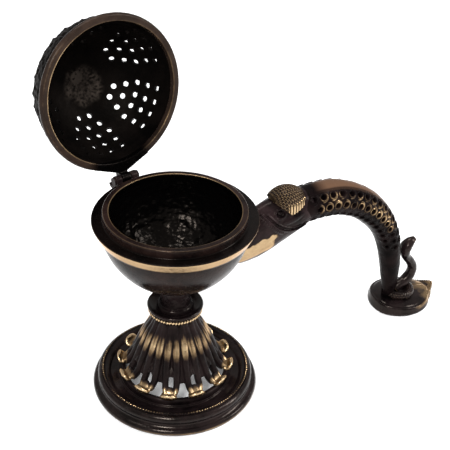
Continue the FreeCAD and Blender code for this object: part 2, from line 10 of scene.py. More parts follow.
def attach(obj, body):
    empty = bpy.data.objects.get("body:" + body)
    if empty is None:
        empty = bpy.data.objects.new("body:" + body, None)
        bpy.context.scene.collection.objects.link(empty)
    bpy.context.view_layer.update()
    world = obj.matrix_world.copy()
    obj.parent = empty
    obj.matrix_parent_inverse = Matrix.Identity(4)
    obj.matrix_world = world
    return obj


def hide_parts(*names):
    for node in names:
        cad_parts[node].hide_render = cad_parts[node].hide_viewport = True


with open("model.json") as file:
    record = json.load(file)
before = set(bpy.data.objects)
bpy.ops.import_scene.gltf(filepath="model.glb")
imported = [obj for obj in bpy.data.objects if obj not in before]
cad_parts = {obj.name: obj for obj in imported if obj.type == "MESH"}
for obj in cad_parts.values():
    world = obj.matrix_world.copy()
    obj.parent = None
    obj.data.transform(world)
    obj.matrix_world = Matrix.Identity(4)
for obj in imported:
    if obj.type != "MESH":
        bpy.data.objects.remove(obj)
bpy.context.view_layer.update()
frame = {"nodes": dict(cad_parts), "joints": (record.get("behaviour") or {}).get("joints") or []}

# ---------------------------------------------------------------------------
# Incense burner: looks. Shapes are worked out in millimetres, in the part's
# own frame, and turned into metres when their mesh is made.
# ---------------------------------------------------------------------------

MM = 0.001
TURN = 2 * math.pi
Y_AXIS = np.array([0.0, 1.0, 0.0])
Z_AXIS = np.array([0.0, 0.0, 1.0])

PETALS = 12
PETAL_PHASE = math.radians(-3.0)

HINGE = frame["joints"][0]
HINGE_POINT = np.array(HINGE["pos_m"]) / MM
HINGE_AXIS = np.array(HINGE["axis"])
OPEN_ANGLE = -math.radians(HINGE["range_deg"][0])
HINGE_BEARING = math.atan2(HINGE_POINT[1], HINGE_POINT[0])
HINGE_RADIUS = math.hypot(HINGE_POINT[0], HINGE_POINT[1])
HINGE_HEIGHT = HINGE_POINT[2]

STEM_BORE = 3.2
COLLAR_SEAT = 52.5
NECK_SEAT = 56.0
NECK_TOP = 73.4
BOWL_SEAT = 75.8
FLANGE_TOP = 116.5
LID_BOTTOM = 116.8
LID_RING_TOP = 120.8
DOME_RADIUS = 43.4
DOME_WALL = 3.9
DOME_CENTRE = 118.72

# The handle's centreline, from the neck to the tail's root: x, z and diameter.
HANDLE = (
    (79.0, 99.5, 20.6),
    (84.0, 99.7, 21.3),
    (94.2, 99.7, 21.6),
    (106.0, 97.9, 21.4),
    (119.8, 91.6, 20.6),
    (131.0, 83.0, 19.8),
    (139.0, 74.1, 18.4),
    (144.1, 66.3, 17.1),
    (148.2, 57.7, 16.0),
    (151.5, 47.1, 15.0),
    (153.8, 35.7, 13.9),
    (155.0, 25.9, 12.2),
    (155.7, 18.0, 10.5),
    (156.0, 12.0, 9.2),
    (156.0, 7.3, 8.6),
)


# ---------------------------------------------------------------------------
# Numbers: curves, noise and small formulas
# ---------------------------------------------------------------------------

def spline(stations, count):
    """A smooth curve through the rows of a table, resampled evenly along its first two columns."""
    table = np.array(stations, float)
    padded = np.vstack([2 * table[0] - table[1], table, 2 * table[-1] - table[-2]])
    pieces = []
    for i in range(len(table) - 1):
        a, b, c, d = padded[i:i + 4]
        t = np.linspace(0, 1, 24, endpoint=False)[:, None]
        pieces.append(0.5 * (2 * b + (c - a) * t + (2 * a - 5 * b + 4 * c - d) * t ** 2
                             + (3 * b - a - 3 * c + d) * t ** 3))
    dense = np.vstack(pieces + [table[-1:]])
    along = run_lengths(dense[:, :2])
    return looked_up(np.linspace(0, along[-1], count), along, dense)


def run_lengths(points):
    """Distance along a line of points, at each of them."""
    steps = np.linalg.norm(np.diff(points, axis=0), axis=1)
    return np.concatenate([[0], np.cumsum(steps)])


def looked_up(places, along, values):
    """The rows of values that belong to places along a line."""
    return np.stack([np.interp(places, along, column) for column in values.T], -1)


def hashed(cells, seed):
    """A repeatable number from -1 to 1 for each whole-number cell."""
    x, y, z = (cells[..., k].astype(np.int64) for k in range(3))
    h = (x * 73856093) ^ (y * 19349663) ^ (z * 83492791) ^ (seed * 265443576)
    h = ((h ^ (h >> 13)) * 1274126177) & 0x7FFFFFFF
    h = ((h ^ (h >> 16)) * 668265263) & 0x7FFFFFFF
    return h / float(0x7FFFFFFF) * 2 - 1


def noise(points, cell, seed):
    """Smooth noise from -1 to 1, with features about one cell wide."""
    scaled = np.asarray(points) / cell
    base = np.floor(scaled)
    part = scaled - base
    part = part * part * (3 - 2 * part)
    total = np.zeros(len(scaled))
    for corner in np.ndindex(2, 2, 2):
        share = np.prod(np.where(corner, part, 1 - part), axis=1)
        total += share * hashed(base + corner, seed)
    return total


def rough(points, cell, seed, octaves=3):
    """Several sizes of noise added up."""
    return sum(noise(points, cell / 2 ** k, seed + k) / 2 ** k for k in range(octaves))


def ramp(value, low, high):
    """0 below low, 1 above high, and smooth between them."""
    t = np.clip((np.asarray(value, float) - low) / (high - low), 0, 1)
    return t * t * (3 - 2 * t)


def hump(value, centre, width):
    """A round bump, 1 at its centre and nearly 0 two widths away."""
    return np.exp(-((np.asarray(value, float) - centre) / width) ** 2)


def arc(start, via, end, count):
    """Points on the circle through three points of a profile, without the first one."""
    (ax, ay), (bx, by), (cx, cy) = start, via, end
    d = 2 * (ax * (by - cy) + bx * (cy - ay) + cx * (ay - by))
    a2, b2, c2 = ax * ax + ay * ay, bx * bx + by * by, cx * cx + cy * cy
    ux = (a2 * (by - cy) + b2 * (cy - ay) + c2 * (ay - by)) / d
    uy = (a2 * (cx - bx) + b2 * (ax - cx) + c2 * (bx - ax)) / d
    radius = math.hypot(ax - ux, ay - uy)
    first, middle, last = (math.atan2(y - uy, x - ux) for x, y in (start, via, end))
    sweep = (last - first) % TURN
    if (middle - first) % TURN > sweep:
        sweep -= TURN
    angles = first + sweep * np.arange(1, count + 1) / count
    return [(ux + radius * math.cos(a), uy + radius * math.sin(a)) for a in angles]


def outline(*steps):
    """Points of a profile. A step is a corner or a curve on from there: (via, end, count)."""
    points = []
    for step in steps:
        if len(step) == 2:
            points.append(step)
            last = step
        else:
            points += arc(last, *step)
            last = step[1]
    return points


def softened(corners, radius, spacing):
    """A closed outline with its corners rounded and its long runs divided."""
    corners = np.array(corners, float)
    rounded = []
    for i, corner in enumerate(corners):
        before = corners[i - 1] - corner
        after = corners[(i + 1) % len(corners)] - corner
        reach_before = min(radius, np.linalg.norm(before) / 2.01)
        reach_after = min(radius, np.linalg.norm(after) / 2.01)
        start = corner + before / np.linalg.norm(before) * reach_before
        end = corner + after / np.linalg.norm(after) * reach_after
        for t in np.linspace(0, 1, 5):
            rounded.append((1 - t) ** 2 * start + 2 * t * (1 - t) * corner + t * t * end)
    points = []
    for i, point in enumerate(rounded):
        following = rounded[(i + 1) % len(rounded)]
        pieces = max(1, math.ceil(np.linalg.norm(following - point) / spacing))
        points += [point + (following - point) * k / pieces for k in range(pieces)]
    return np.array(points)


def unit(vectors):
    """Vectors scaled to a length of one."""
    return vectors / np.linalg.norm(vectors, axis=-1)[..., None]


def full_turn(count):
    """Angles of even steps round a circle."""
    return np.arange(count) * TURN / count


def wrapped(angle):
    """The same angle, between minus and plus half a turn."""
    return (angle + math.pi) % TURN - math.pi


def off_axis(points):
    """Distance of each point from the burner's upright axis."""
    return np.hypot(points[:, 0], points[:, 1])


def bearing_of(points):
    """Bearing of each point about the burner's upright axis."""
    return np.arctan2(points[:, 1], points[:, 0])


def in_middle_plane(x, z):
    """Points of the plane that holds the stem and the handle."""
    return np.stack([x, np.zeros(len(x)), z], 1)


def turned_about_z(points, angle):
    c, s = math.cos(angle), math.sin(angle)
    return np.asarray(points) @ np.array([[c, s, 0], [-s, c, 0], [0, 0, 1]])


def swung(points, angle):
    """Turns points of the lid about the hinge."""
    swing = Matrix.Rotation(angle, 3, Vector(HINGE_AXIS))
    return (np.asarray(points) - HINGE_POINT) @ np.array(swing).T + HINGE_POINT


def opened(points):
    """Swings points of the closed lid up to the stop."""
    return swung(points, OPEN_ANGLE)


# ---------------------------------------------------------------------------
# Shells: (points, faces) pairs
# ---------------------------------------------------------------------------

def grid_faces(rows, columns, close_rows=False, close_columns=True):
    r = np.arange(rows if close_rows else rows - 1)
    c = np.arange(columns if close_columns else columns - 1)
    rr, cc = (m.ravel() for m in np.meshgrid(r, c, indexing="ij"))
    right = (cc + 1) % columns
    below = (rr + 1) % rows
    quads = np.stack([rr * columns + cc, rr * columns + right,
                      below * columns + right, below * columns + cc], 1)
    return quads.tolist()


def cap_ends(faces, rows, columns):
    """Closes the first and the last row of a grid with one face each."""
    last = (rows - 1) * columns
    faces.append(list(range(columns))[::-1])
    faces.append(list(range(last, last + columns)))


def lathe(profile, segments, closed=True):
    """Turns a profile of (radius, height) points about the Z axis. An open one is capped at both ends."""
    profile = np.asarray(profile)
    angle = full_turn(segments)
    radius = profile[:, 0][:, None]
    points = np.stack([radius * np.cos(angle), radius * np.sin(angle),
                       np.repeat(profile[:, 1][:, None], segments, 1)], 2).reshape(-1, 3)
    faces = grid_faces(len(profile), segments, close_rows=closed)
    if not closed:
        cap_ends(faces, len(profile), segments)
    return points, faces


def sweep(path, side, half_side, half_normal, segments, closed=False):
    """A tube of elliptical section along a path that lies in a plane. side is the plane's normal."""
    path = np.asarray(path, float)
    side = np.asarray(side, float)
    if closed:
        tangent = np.roll(path, -1, 0) - np.roll(path, 1, 0)
    else:
        tangent = np.gradient(path, axis=0)
    normal = unit(np.cross(unit(tangent), side))
    angle = full_turn(segments)
    across = np.cos(angle)
    outward = np.sin(angle)
    width = np.broadcast_to(half_side, len(path))[:, None, None]
    height = np.broadcast_to(half_normal, len(path))[:, None, None]
    points = (path[:, None, :] + width * across[None, :, None] * side
              + height * outward[None, :, None] * normal[:, None, :]).reshape(-1, 3)
    faces = grid_faces(len(path), segments, close_rows=closed)
    if not closed:
        cap_ends(faces, len(path), segments)
    return points, faces


def ball(centre, radii, rows, columns):
    """An ellipsoid along the frame's own axes."""
    tilt = np.linspace(0.02, math.pi - 0.02, rows)
    profile = np.stack([np.sin(tilt), np.cos(tilt)], 1)
    points, faces = lathe(profile, columns, closed=False)
    return points * radii + np.asarray(centre, float), faces


def plate(outline, low, high, to_space):
    """A flat plate: an outline of (u, v) points, between two levels, placed by to_space(u, v, w)."""
    outline = np.asarray(outline)
    count = len(outline)
    bottom = to_space(outline[:, 0], outline[:, 1], np.full(count, low))
    top = to_space(outline[:, 0], outline[:, 1], np.full(count, high))
    faces = grid_faces(2, count)
    cap_ends(faces, 2, count)
    return np.vstack([bottom, top]), faces


def joined(shells):
    """Several shells as one list of points and faces."""
    points = []
    faces = []
    offset = 0
    for shell_points, shell_faces in shells:
        points.append(shell_points)
        faces += [[i + offset for i in face] for face in shell_faces]
        offset += len(shell_points)
    return np.vstack(points), faces


# ---------------------------------------------------------------------------
# Meshes
# ---------------------------------------------------------------------------

def new_piece(name, shell, sharp_degrees=50.0):
    """A Blender object from points in millimetres and faces."""
    points, faces = shell
    mesh = bpy.data.meshes.new(name)
    mesh.from_pydata((np.asarray(points) * MM).tolist(), [], faces)
    mesh.update()
    piece = bpy.data.objects.new(name, mesh)
    bpy.context.scene.collection.objects.link(piece)
    outward_normals(mesh)
    shade(mesh, sharp_degrees)
    return piece


def outward_normals(mesh):
    work = bmesh.new()
    work.from_mesh(mesh)
    bmesh.ops.recalc_face_normals(work, faces=work.faces)
    work.to_mesh(mesh)
    work.free()


def shade(mesh, sharp_degrees):
    mesh.polygons.foreach_set("use_smooth", np.ones(len(mesh.polygons), bool))
    mesh.set_sharp_from_angle(angle=math.radians(sharp_degrees))


def read_points(piece):
    flat = np.empty(len(piece.data.vertices) * 3)
    piece.data.vertices.foreach_get("co", flat)
    return flat.reshape(-1, 3) / MM


def read_normals(piece):
    flat = np.empty(len(piece.data.vertices) * 3)
    piece.data.vertices.foreach_get("normal", flat)
    return flat.reshape(-1, 3)


def write_points(piece, points):
    piece.data.vertices.foreach_set("co", (np.asarray(points) * MM).ravel())
    piece.data.update()


def push(piece, amounts):
    """Moves each vertex along its normal by its own amount, in millimetres."""
    write_points(piece, read_points(piece) + read_normals(piece) * np.asarray(amounts)[:, None])


def modified(piece, kind, **settings):
    """Applies one modifier to a piece's mesh."""
    modifier = piece.modifiers.new(kind, kind)
    for key, value in settings.items():
        setattr(modifier, key, value)
    graph = bpy.context.evaluated_depsgraph_get()
    graph.update()
    mesh = bpy.data.meshes.new_from_object(piece.evaluated_get(graph))
    piece.modifiers.remove(modifier)
    old = piece.data
    piece.data = mesh
    mesh.name = piece.name
    bpy.data.meshes.remove(old)


def cast(name, shells, voxel, smoothing, sharp_degrees):
    """Overlapping shells melted into one casting with soft inner corners."""
    piece = new_piece(name, joined(shells))
    modified(piece, "REMESH", mode="VOXEL", voxel_size=voxel * MM, adaptivity=0.0)
    modified(piece, "SMOOTH", factor=0.5, iterations=smoothing)
    shade(piece.data, sharp_degrees)
    return piece


def neighbour_mean(piece, values):
    """Each vertex's values averaged over the vertices that share an edge with it."""
    edges = np.empty(len(piece.data.edges) * 2, np.int64)
    piece.data.edges.foreach_get("vertices", edges)
    a, b = edges.reshape(-1, 2).T
    count = np.bincount(a, minlength=len(values)) + np.bincount(b, minlength=len(values))
    total = np.zeros_like(values)
    for k in range(values.shape[1]):
        total[:, k] = (np.bincount(a, values[b, k], len(values))
                       + np.bincount(b, values[a, k], len(values)))
    return total / np.maximum(count, 1)[:, None]


def standing_out(piece, scale, passes):
    """1 where the surface stands out of its surroundings by scale millimetres, -1 in such hollows."""
    points = read_points(piece)
    smooth = points
    for _ in range(passes):
        smooth = neighbour_mean(piece, smooth)
    proud = np.einsum("ij,ij->i", points - smooth, read_normals(piece))
    return np.clip(proud / scale, -1, 1)


def paint(piece, name, values):
    """Stores one number for each vertex, for the materials to read."""
    attribute = piece.data.attributes.get(name) or piece.data.attributes.new(name, "FLOAT", "POINT")
    attribute.data.foreach_set("value", np.asarray(values, np.float32))


def worn_edges(piece, scale, extra, passes=3):
    """Paints the wear that rubbing leaves: bright where the surface stands out."""
    paint(piece, "wear_and_highlight", standing_out(piece, scale, passes) + extra)


def finish_piece(piece, body, material, node):
    """Material, body and the CAD node that a piece stands for."""
    piece.data.materials.clear()
    piece.data.materials.append(material)
    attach(piece, body)
    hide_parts(node)


# ---------------------------------------------------------------------------
# Materials
# ---------------------------------------------------------------------------

def set_inputs(node, values):
    """Sets plain values of a node's inputs."""
    for name, value in values.items():
        node.inputs[name].default_value = value


class Nodes:
    """A material's node tree, with short ways to add and link nodes."""

    def __init__(self, material):
        material.use_nodes = True
        self.material = material
        self.tree = material.node_tree
        self.shader = self.tree.nodes["Principled BSDF"]

    def add(self, kind, **settings):
        node = self.tree.nodes.new(kind)
        for key, value in settings.items():
            setattr(node, key, value)
        return node

    def link(self, output, target):
        self.tree.links.new(output, target)

    def feed(self, name, output):
        self.link(output, self.shader.inputs[name])

    def paint(self, name):
        return self.add("ShaderNodeAttribute", attribute_name=name).outputs["Fac"]

    def noise(self, scale, detail, roughness):
        node = self.add("ShaderNodeTexNoise")
        set_inputs(node, {"Scale": scale, "Detail": detail, "Roughness": roughness})
        self.link(self.add("ShaderNodeTexCoord").outputs["Object"], node.inputs["Vector"])
        return node.outputs["Fac"]

    def maths(self, operation, first, second):
        node = self.add("ShaderNodeMath", operation=operation)
        for socket, value in zip(node.inputs, (first, second)):
            if isinstance(value, (int, float)):
                socket.default_value = value
            else:
                self.link(value, socket)
        return node.outputs[0]

    def remap(self, value, low, high, to_low, to_high):
        node = self.add("ShaderNodeMapRange")
        self.link(value, node.inputs["Value"])
        set_inputs(node, {"From Min": low, "From Max": high, "To Min": to_low, "To Max": to_high})
        return node.outputs["Result"]

    def colours(self, value, stops):
        node = self.add("ShaderNodeValToRGB")
        ramp_of = node.color_ramp
        for position, colour in stops[2:]:
            ramp_of.elements.new(position)
        for element, (position, colour) in zip(sorted(ramp_of.elements, key=lambda e: e.position), stops):
            element.position = position
            element.color = (*colour, 1)
        self.link(value, node.inputs["Fac"])
        return node.outputs["Color"]

    def mix(self, factor, first, second):
        node = self.add("ShaderNodeMix", data_type="RGBA")
        for socket, value in ((node.inputs[0], factor), (node.inputs[6], first), (node.inputs[7], second)):
            if isinstance(value, tuple):
                socket.default_value = (*value, 1)
            else:
                self.link(value, socket)
        return node.outputs[2]

    def bump(self, height, strength, distance):
        node = self.add("ShaderNodeBump")
        set_inputs(node, {"Strength": strength, "Distance": distance})
        self.link(height, node.inputs["Height"])
        self.feed("Normal", node.outputs["Normal"])


BLACK_PATINA = (0.0016, 0.0012, 0.0014)
PURPLE_PATINA = (0.0125, 0.0078, 0.0080)
BROWN_PATINA = (0.045, 0.026, 0.016)
DULL_GOLD = (0.19, 0.125, 0.066)
PALE_GOLD = (0.62, 0.45, 0.26)
# Near-black used for real soot inside the bowl and for painted shade on the bowl's flange.
SOOT_AND_SHADE = (0.0008, 0.0007, 0.0007)
CRUST = (0.058, 0.046, 0.038)
RED_BROWN = (0.098, 0.054, 0.033)
WARM_SHEEN = (1.0, 0.84, 0.72)


def patinated(name, dark=BLACK_PATINA, light=PURPLE_PATINA, bias=0.0, gloss=0.20, grain=0.22,
              mottling=0.55, shine=0.08):
    """Dark chemical patina on brass, rubbed through to metal where the wear paint is high. On a few parts
    that paint also holds painted highlights: a lit side or line painted lighter.
    """
    nodes = Nodes(bpy.data.materials.new(name))
    # The wear paint is real rubbing wear, plus painted highlights on the base's lip, the base's inner ring
    # line and the lid ring's left side.
    painted = nodes.paint("wear_and_highlight")
    blotches = nodes.noise(70.0, 5.0, 0.62)
    speckle = nodes.noise(520.0, 3.0, 0.6)
    ground = nodes.mix(nodes.remap(blotches, 0.36, 0.66, 0.0, 1.0), dark, light)
    broken = nodes.maths("MULTIPLY", nodes.maths("SUBTRACT", blotches, 0.5), mottling)
    fine = nodes.maths("MULTIPLY", nodes.maths("SUBTRACT", speckle, 0.5), 0.5 * mottling)
    rubbed_and_highlight = nodes.maths("ADD", painted, bias)
    wear_and_highlight = nodes.maths("ADD", rubbed_and_highlight, nodes.maths("ADD", broken, fine))
    metal = nodes.colours(wear_and_highlight, [(0.0, BROWN_PATINA), (0.45, DULL_GOLD), (1.0, PALE_GOLD)])
    share = nodes.remap(wear_and_highlight, 0.08, 0.5, 0.0, 1.0)
    nodes.feed("Base Color", nodes.mix(share, ground, metal))
    nodes.feed("Metallic", nodes.remap(wear_and_highlight, 0.15, 0.6, 0.0, 1.0))
    uneven = nodes.remap(speckle, 0.3, 0.7, gloss - 0.06, gloss + 0.1)
    nodes.feed("Roughness", nodes.maths("SUBTRACT", uneven, nodes.remap(wear_and_highlight, 0.3, 1.0, 0.0, 0.06)))
    set_inputs(nodes.shader, {"Specular IOR Level": shine, "Specular Tint": (*WARM_SHEEN, 1)})
    height = nodes.maths("ADD", nodes.noise(260.0, 4.0, 0.6), nodes.maths("MULTIPLY", speckle, 0.35))
    nodes.bump(height, grain, 0.0004)
    return nodes.material


def tinted(material, paint_name, colour):
    """Lays a plain colour over a material wherever the named paint is high."""
    nodes = Nodes(material)
    under = nodes.shader.inputs["Base Color"].links[0].from_socket
    nodes.feed("Base Color", nodes.mix(nodes.paint(paint_name), under, colour))
    return material


def plain_metal(name, colour, gloss):
    """Dull plated steel with fine turning marks."""
    nodes = Nodes(bpy.data.materials.new(name))
    marks = nodes.noise(900.0, 3.0, 0.7)
    darker = tuple(c * 0.6 for c in colour)
    nodes.feed("Base Color", nodes.mix(nodes.remap(marks, 0.3, 0.7, 0.0, 1.0), darker, colour))
    nodes.feed("Roughness", nodes.remap(marks, 0.3, 0.7, gloss - 0.08, gloss + 0.1))
    set_inputs(nodes.shader, {"Metallic": 1.0})
    nodes.bump(marks, 0.15, 0.0002)
    return nodes.material


# ---------------------------------------------------------------------------
# Foot, pedestal and neck
# ---------------------------------------------------------------------------

def base_plate():
    corners = outline(
        (44.0, 0.0), (46.0, 0.0),
        ((47.95, 2.4), (46.7, 4.4), 10),
        ((45.0, 5.2), (44.4, 6.9), 6),
        ((45.0, 9.3), (43.5, 11.2), 8),
        (42.9, 11.4), (42.7, 11.0), (41.2, 11.0), (41.0, 11.4), (40.4, 11.3),
        ((38.9, 10.5), (37.4, 9.2), 5),
        (34.0, 8.6), (32.7, 8.5), (32.4, 9.5), (28.4, 9.6), (28.4, 6.4), (38.0, 6.4),
        ((41.6, 5.6), (42.6, 3.0), 6),
    )
    piece = new_piece("base_plate_turned", lathe(softened(corners, 0.35, 0.8), 288), 70)
    points = read_points(piece)
    height = points[:, 2]
    lift = np.where(height > 0.6, 1.0, 0.0)
    push(piece, lift * (0.05 * rough(points, 9.0, 3) - 0.06))
    radius = off_axis(points)
    # Painted highlight: the rubbed lip is painted lighter on its front-right side, where the light falls.
    highlight_side = 0.5 + 0.5 * np.cos(bearing_of(points) + 1.35)
    lip = hump(radius, 47.8, 0.4) * hump(height, 2.1, 0.8) * (0.25 + 0.55 * highlight_side)
    shoulder = hump(radius, 43.6, 0.5) * hump(height, 11.0, 0.5) * 0.14
    # Painted highlight: a thin lighter line along the top of the raised inner ring.
    inner_line = 0.30 * hump(radius, 32.4, 0.4) * ramp(height, 9.0, 9.5)
    paint(piece, "wear_and_highlight", lip + shoulder + inner_line - 0.27)
    return piece


def beads_on_ring(radius, height, bead, count, lean, length):
    """Beads round a wire. lean turns each bead's long axis out of the ring's line."""
    c, s = math.cos(lean), math.sin(lean)
    bead_points, faces = ball((0, 0, 0), (bead, bead * length, bead), 7, 10)
    bead_points = bead_points @ np.array([[1, 0, 0], [0, c, s], [0, -s, c]])
    shells = []
    for index in range(count):
        wobble = 0.12 * hashed(np.array([index, 7, 3]), 5)
        points = bead_points + np.array([radius, 0, height + 0.06 * wobble])
        shells.append((turned_about_z(points, TURN * (index + wobble) / count), faces))
    angle = full_turn(200)
    ring = np.stack([radius * np.cos(angle), radius * np.sin(angle), np.full(200, height)], 1)
    shells.append(sweep(ring, Z_AXIS, bead * 0.55, bead * 0.55, 10, closed=True))
    return shells


def base_beads():
    """Fine slanting beads, like a rope laid in the plate's groove."""
    shells = beads_on_ring(42.0, 12.0, 0.52, 164, lean=math.radians(70), length=1.7)
    piece = new_piece("base_beads", joined(shells))
    points = read_points(piece)
    bearing = bearing_of(points)
    rubbed_and_highlight = 0.45 - 0.30 * np.cos(6 * bearing) + 0.25 * rough(points, 14.0, 5)
    paint(piece, "wear_and_highlight", ramp(points[:, 2], 12.15, 12.6) * (rubbed_and_highlight + 0.25) - 0.30)
    return piece


RIB_DEPTH = 1.6

# Ribs of the pedestal: height, outer radius, degrees from the petal's middle, half width.
RIBS = (
    (51.5, 12.6, 4.6, 1.3),
    (49.0, 13.2, 5.4, 1.8),
    (45.0, 15.0, 6.1, 2.0),
    (41.0, 17.5, 6.8, 2.25),
    (37.0, 19.5, 7.2, 2.3),
    (33.0, 21.3, 7.4, 2.15),
    (28.0, 23.4, 7.7, 2.15),
    (23.0, 25.3, 7.6, 2.0),
    (19.0, 27.2, 7.4, 1.9),
    (16.0, 29.5, 6.6, 1.75),
    (14.3, 31.2, 5.2, 1.4),
)


def rib_radius(height):
    """The pedestal's outer radius at a height."""
    table = np.array(RIBS)[::-1]
    return np.interp(height, table[:, 0], table[:, 1])


def rib_depth(height):
    """Half of a rib's depth: the ribs grow into fins towards the foot."""
    return RIB_DEPTH + 0.8 * ramp(height, 38.0, 28.0)


def pedestal_shoulder():
    """Closed wall behind the ribs, with an arch in its lower edge behind each slit."""
    heights = np.linspace(19.0, 52.4, 54)
    outer_radius = np.maximum(rib_radius(heights) - 2.3, 11.0)
    outer = np.stack([outer_radius, heights], 1)
    inner = np.stack([outer_radius[::-1] - 2.0, heights[::-1]], 1)
    points, faces = lathe(np.vstack([outer, inner]), 240)
    angle = bearing_of(points) - PETAL_PHASE
    wave = np.cos(angle * PETALS)
    arches = 5.0 * ramp(wave, 0.1, 1.0) - 2.0 * (1 - np.abs(wave))
    points[:, 2] += arches * ramp(points[:, 2], 30.0, 19.5)
    return points, faces


def pedestal_rib(index):
    """Half of a petal: it starts at the knop, stays beside the slit and closes in on the tip."""
    petal = (index + 1) // 2
    side = -1 if index % 2 else 1
    middle = PETAL_PHASE + petal * TURN / PETALS
    path = spline([(radius - rib_depth(height), height, spread, width)
                   for height, radius, spread, width in RIBS], 44)
    angle = middle + side * np.radians(path[:, 2])
    points = np.stack([path[:, 0] * np.cos(angle), path[:, 0] * np.sin(angle), path[:, 1]], 1)
    across = np.array([-math.sin(middle + side * 0.12), math.cos(middle + side * 0.12), 0])
    return sweep(points, across, path[:, 3], rib_depth(path[:, 1]), 18)


def petal_tip(index):
    """Spoon-shaped end of a petal that curls up and out."""
    middle = PETAL_PHASE + index * TURN / PETALS + 0.03 * hashed(np.array([index, 2, 9]), 4)
    droop = 0.4 * hashed(np.array([index, 5, 1]), 8)
    stations = (
        (26.6, 18.4, 1.6, 1.2),
        (27.8, 16.2, 3.2, 1.4),
        (29.3, 14.8, 4.6, 1.5),
        (30.9, 14.7, 5.1, 1.6),
        (32.1, 15.7, 4.9, 1.5),
        (32.8, 17.1, 3.9, 1.3),
        (32.9, 18.3, 2.0, 0.9),
    )
    path = spline(stations, 26)
    points = in_middle_plane(path[:, 0], path[:, 1] + droop)
    shell, faces = sweep(points, Y_AXIS, path[:, 2], path[:, 3], 20)
    hollow = (9.0 - np.minimum(shell[:, 1] ** 2, 9.0)) * ramp(shell[:, 0], 28.5, 31.0)
    shell[:, 2] -= 0.025 * hollow
    return turned_about_z(shell, middle), faces


def lotus_pedestal():
    """Openwork bell of ribs, melted together like a lost-wax casting."""
    foot = [(28.7, 9.6), (31.7, 9.6), (31.8, 11.4), (31.0, 12.6), (29.4, 12.8), (28.7, 12.2)]
    shells = [pedestal_shoulder(), lathe(softened(foot, 0.4, 0.8), 200)]
    shells += [pedestal_rib(index) for index in range(2 * PETALS)]
    shells += [petal_tip(index) for index in range(PETALS)]
    piece = cast("lotus_pedestal_cast", shells, 0.34, 3, 75)
    points = read_points(piece)
    height = points[:, 2]
    normals = read_normals(piece)
    radius = off_axis(points)
    push(piece, 0.09 * rough(points, 5.0, 11))
    standing = standing_out(piece, 0.10, 6)
    outward = (normals[:, 0] * points[:, 0] + normals[:, 1] * points[:, 1]) / radius
    proud = ramp(radius - rib_radius(height), -1.3, -0.2) * ramp(outward, 0.2, 0.7)
    bearing = bearing_of(points)
    streaks = rough(np.stack([bearing * 26, height * 0.12, 0 * bearing], 1), 1.6, 13)
    lobes = hump(height, 38.0 + 1.4 * streaks, 5.6) * proud * (0.74 + 0.26 * standing + 0.3 * streaks)
    spoon = ramp(radius, 27.0, 29.4) * ramp(height, 12.6, 13.8) * ramp(height, 21.0, 19.0)
    rim = ramp(radius, 30.8, 32.6) * ramp(height, 13.5, 16.5)
    tips = 0.85 * spoon + 0.20 * rim
    paint(piece, "wear_and_highlight", 0.95 * lobes + tips + 0.12 * standing - 0.26)
    return piece


def knop_collar():
    corners = outline(
        (STEM_BORE, COLLAR_SEAT), (12.4, COLLAR_SEAT),
        ((13.4, 54.6), (14.4, 56.0), 6),
        ((15.7, 57.0), (15.85, 58.0), 6),
        (15.4, 58.55), (14.8, 58.1),
        ((12.6, 56.5), (10.4, 56.05), 8),
        (STEM_BORE, NECK_SEAT),
    )
    piece = new_piece("knop_collar_turned", lathe(softened(corners, 0.3, 0.5), 160), 70)
    points = read_points(piece)
    paint(piece, "wear_and_highlight", 0.25 * hump(points[:, 2], 58.3, 0.35) - 0.25)
    return piece


def knop_rope():
    shells = beads_on_ring(15.0, 54.85, 0.5, 56, lean=math.radians(75), length=2.5)
    piece = new_piece("knop_rope", joined(shells))
    points = read_points(piece)
    radius = off_axis(points)
    paint(piece, "wear_and_highlight", ramp(radius, 14.95, 15.35) * 1.1 - 0.25)
    return piece


def neck_spool():
    corners = outline(
        (STEM_BORE, NECK_SEAT), (10.2, NECK_SEAT),
        ((10.4, 58.0), (8.9, 59.5), 7),
        ((8.5, 64.5), (9.2, 68.8), 12),
        ((9.8, 71.4), (10.9, NECK_TOP), 7),
        (STEM_BORE, NECK_TOP),
    )
    piece = new_piece("neck_spool_turned", lathe(softened(corners, 0.3, 0.5), 140), 70)
    points = read_points(piece)
    inside = ramp(off_axis(points), 6.0, 8.0) * ramp(points[:, 2], 56.2, 58.0)
    push(piece, inside * (0.16 * rough(points, 3.5, 21) - 0.05))
    worn_edges(piece, 0.2, -0.3)
    return piece


def neck_ring():
    corners = outline((STEM_BORE, NECK_TOP), (11.2, NECK_TOP), ((12.1, 74.6), (11.4, BOWL_SEAT), 8),
                      (STEM_BORE, BOWL_SEAT))
    piece = new_piece("neck_ring_turned", lathe(softened(corners, 0.2, 0.5), 140), 70)
    points = read_points(piece)
    paint(piece, "wear_and_highlight", 0.3 * hump(off_axis(points), 12.0, 0.4) - 0.15)
    return piece


# ---------------------------------------------------------------------------
# Bowl and hinge
# ---------------------------------------------------------------------------

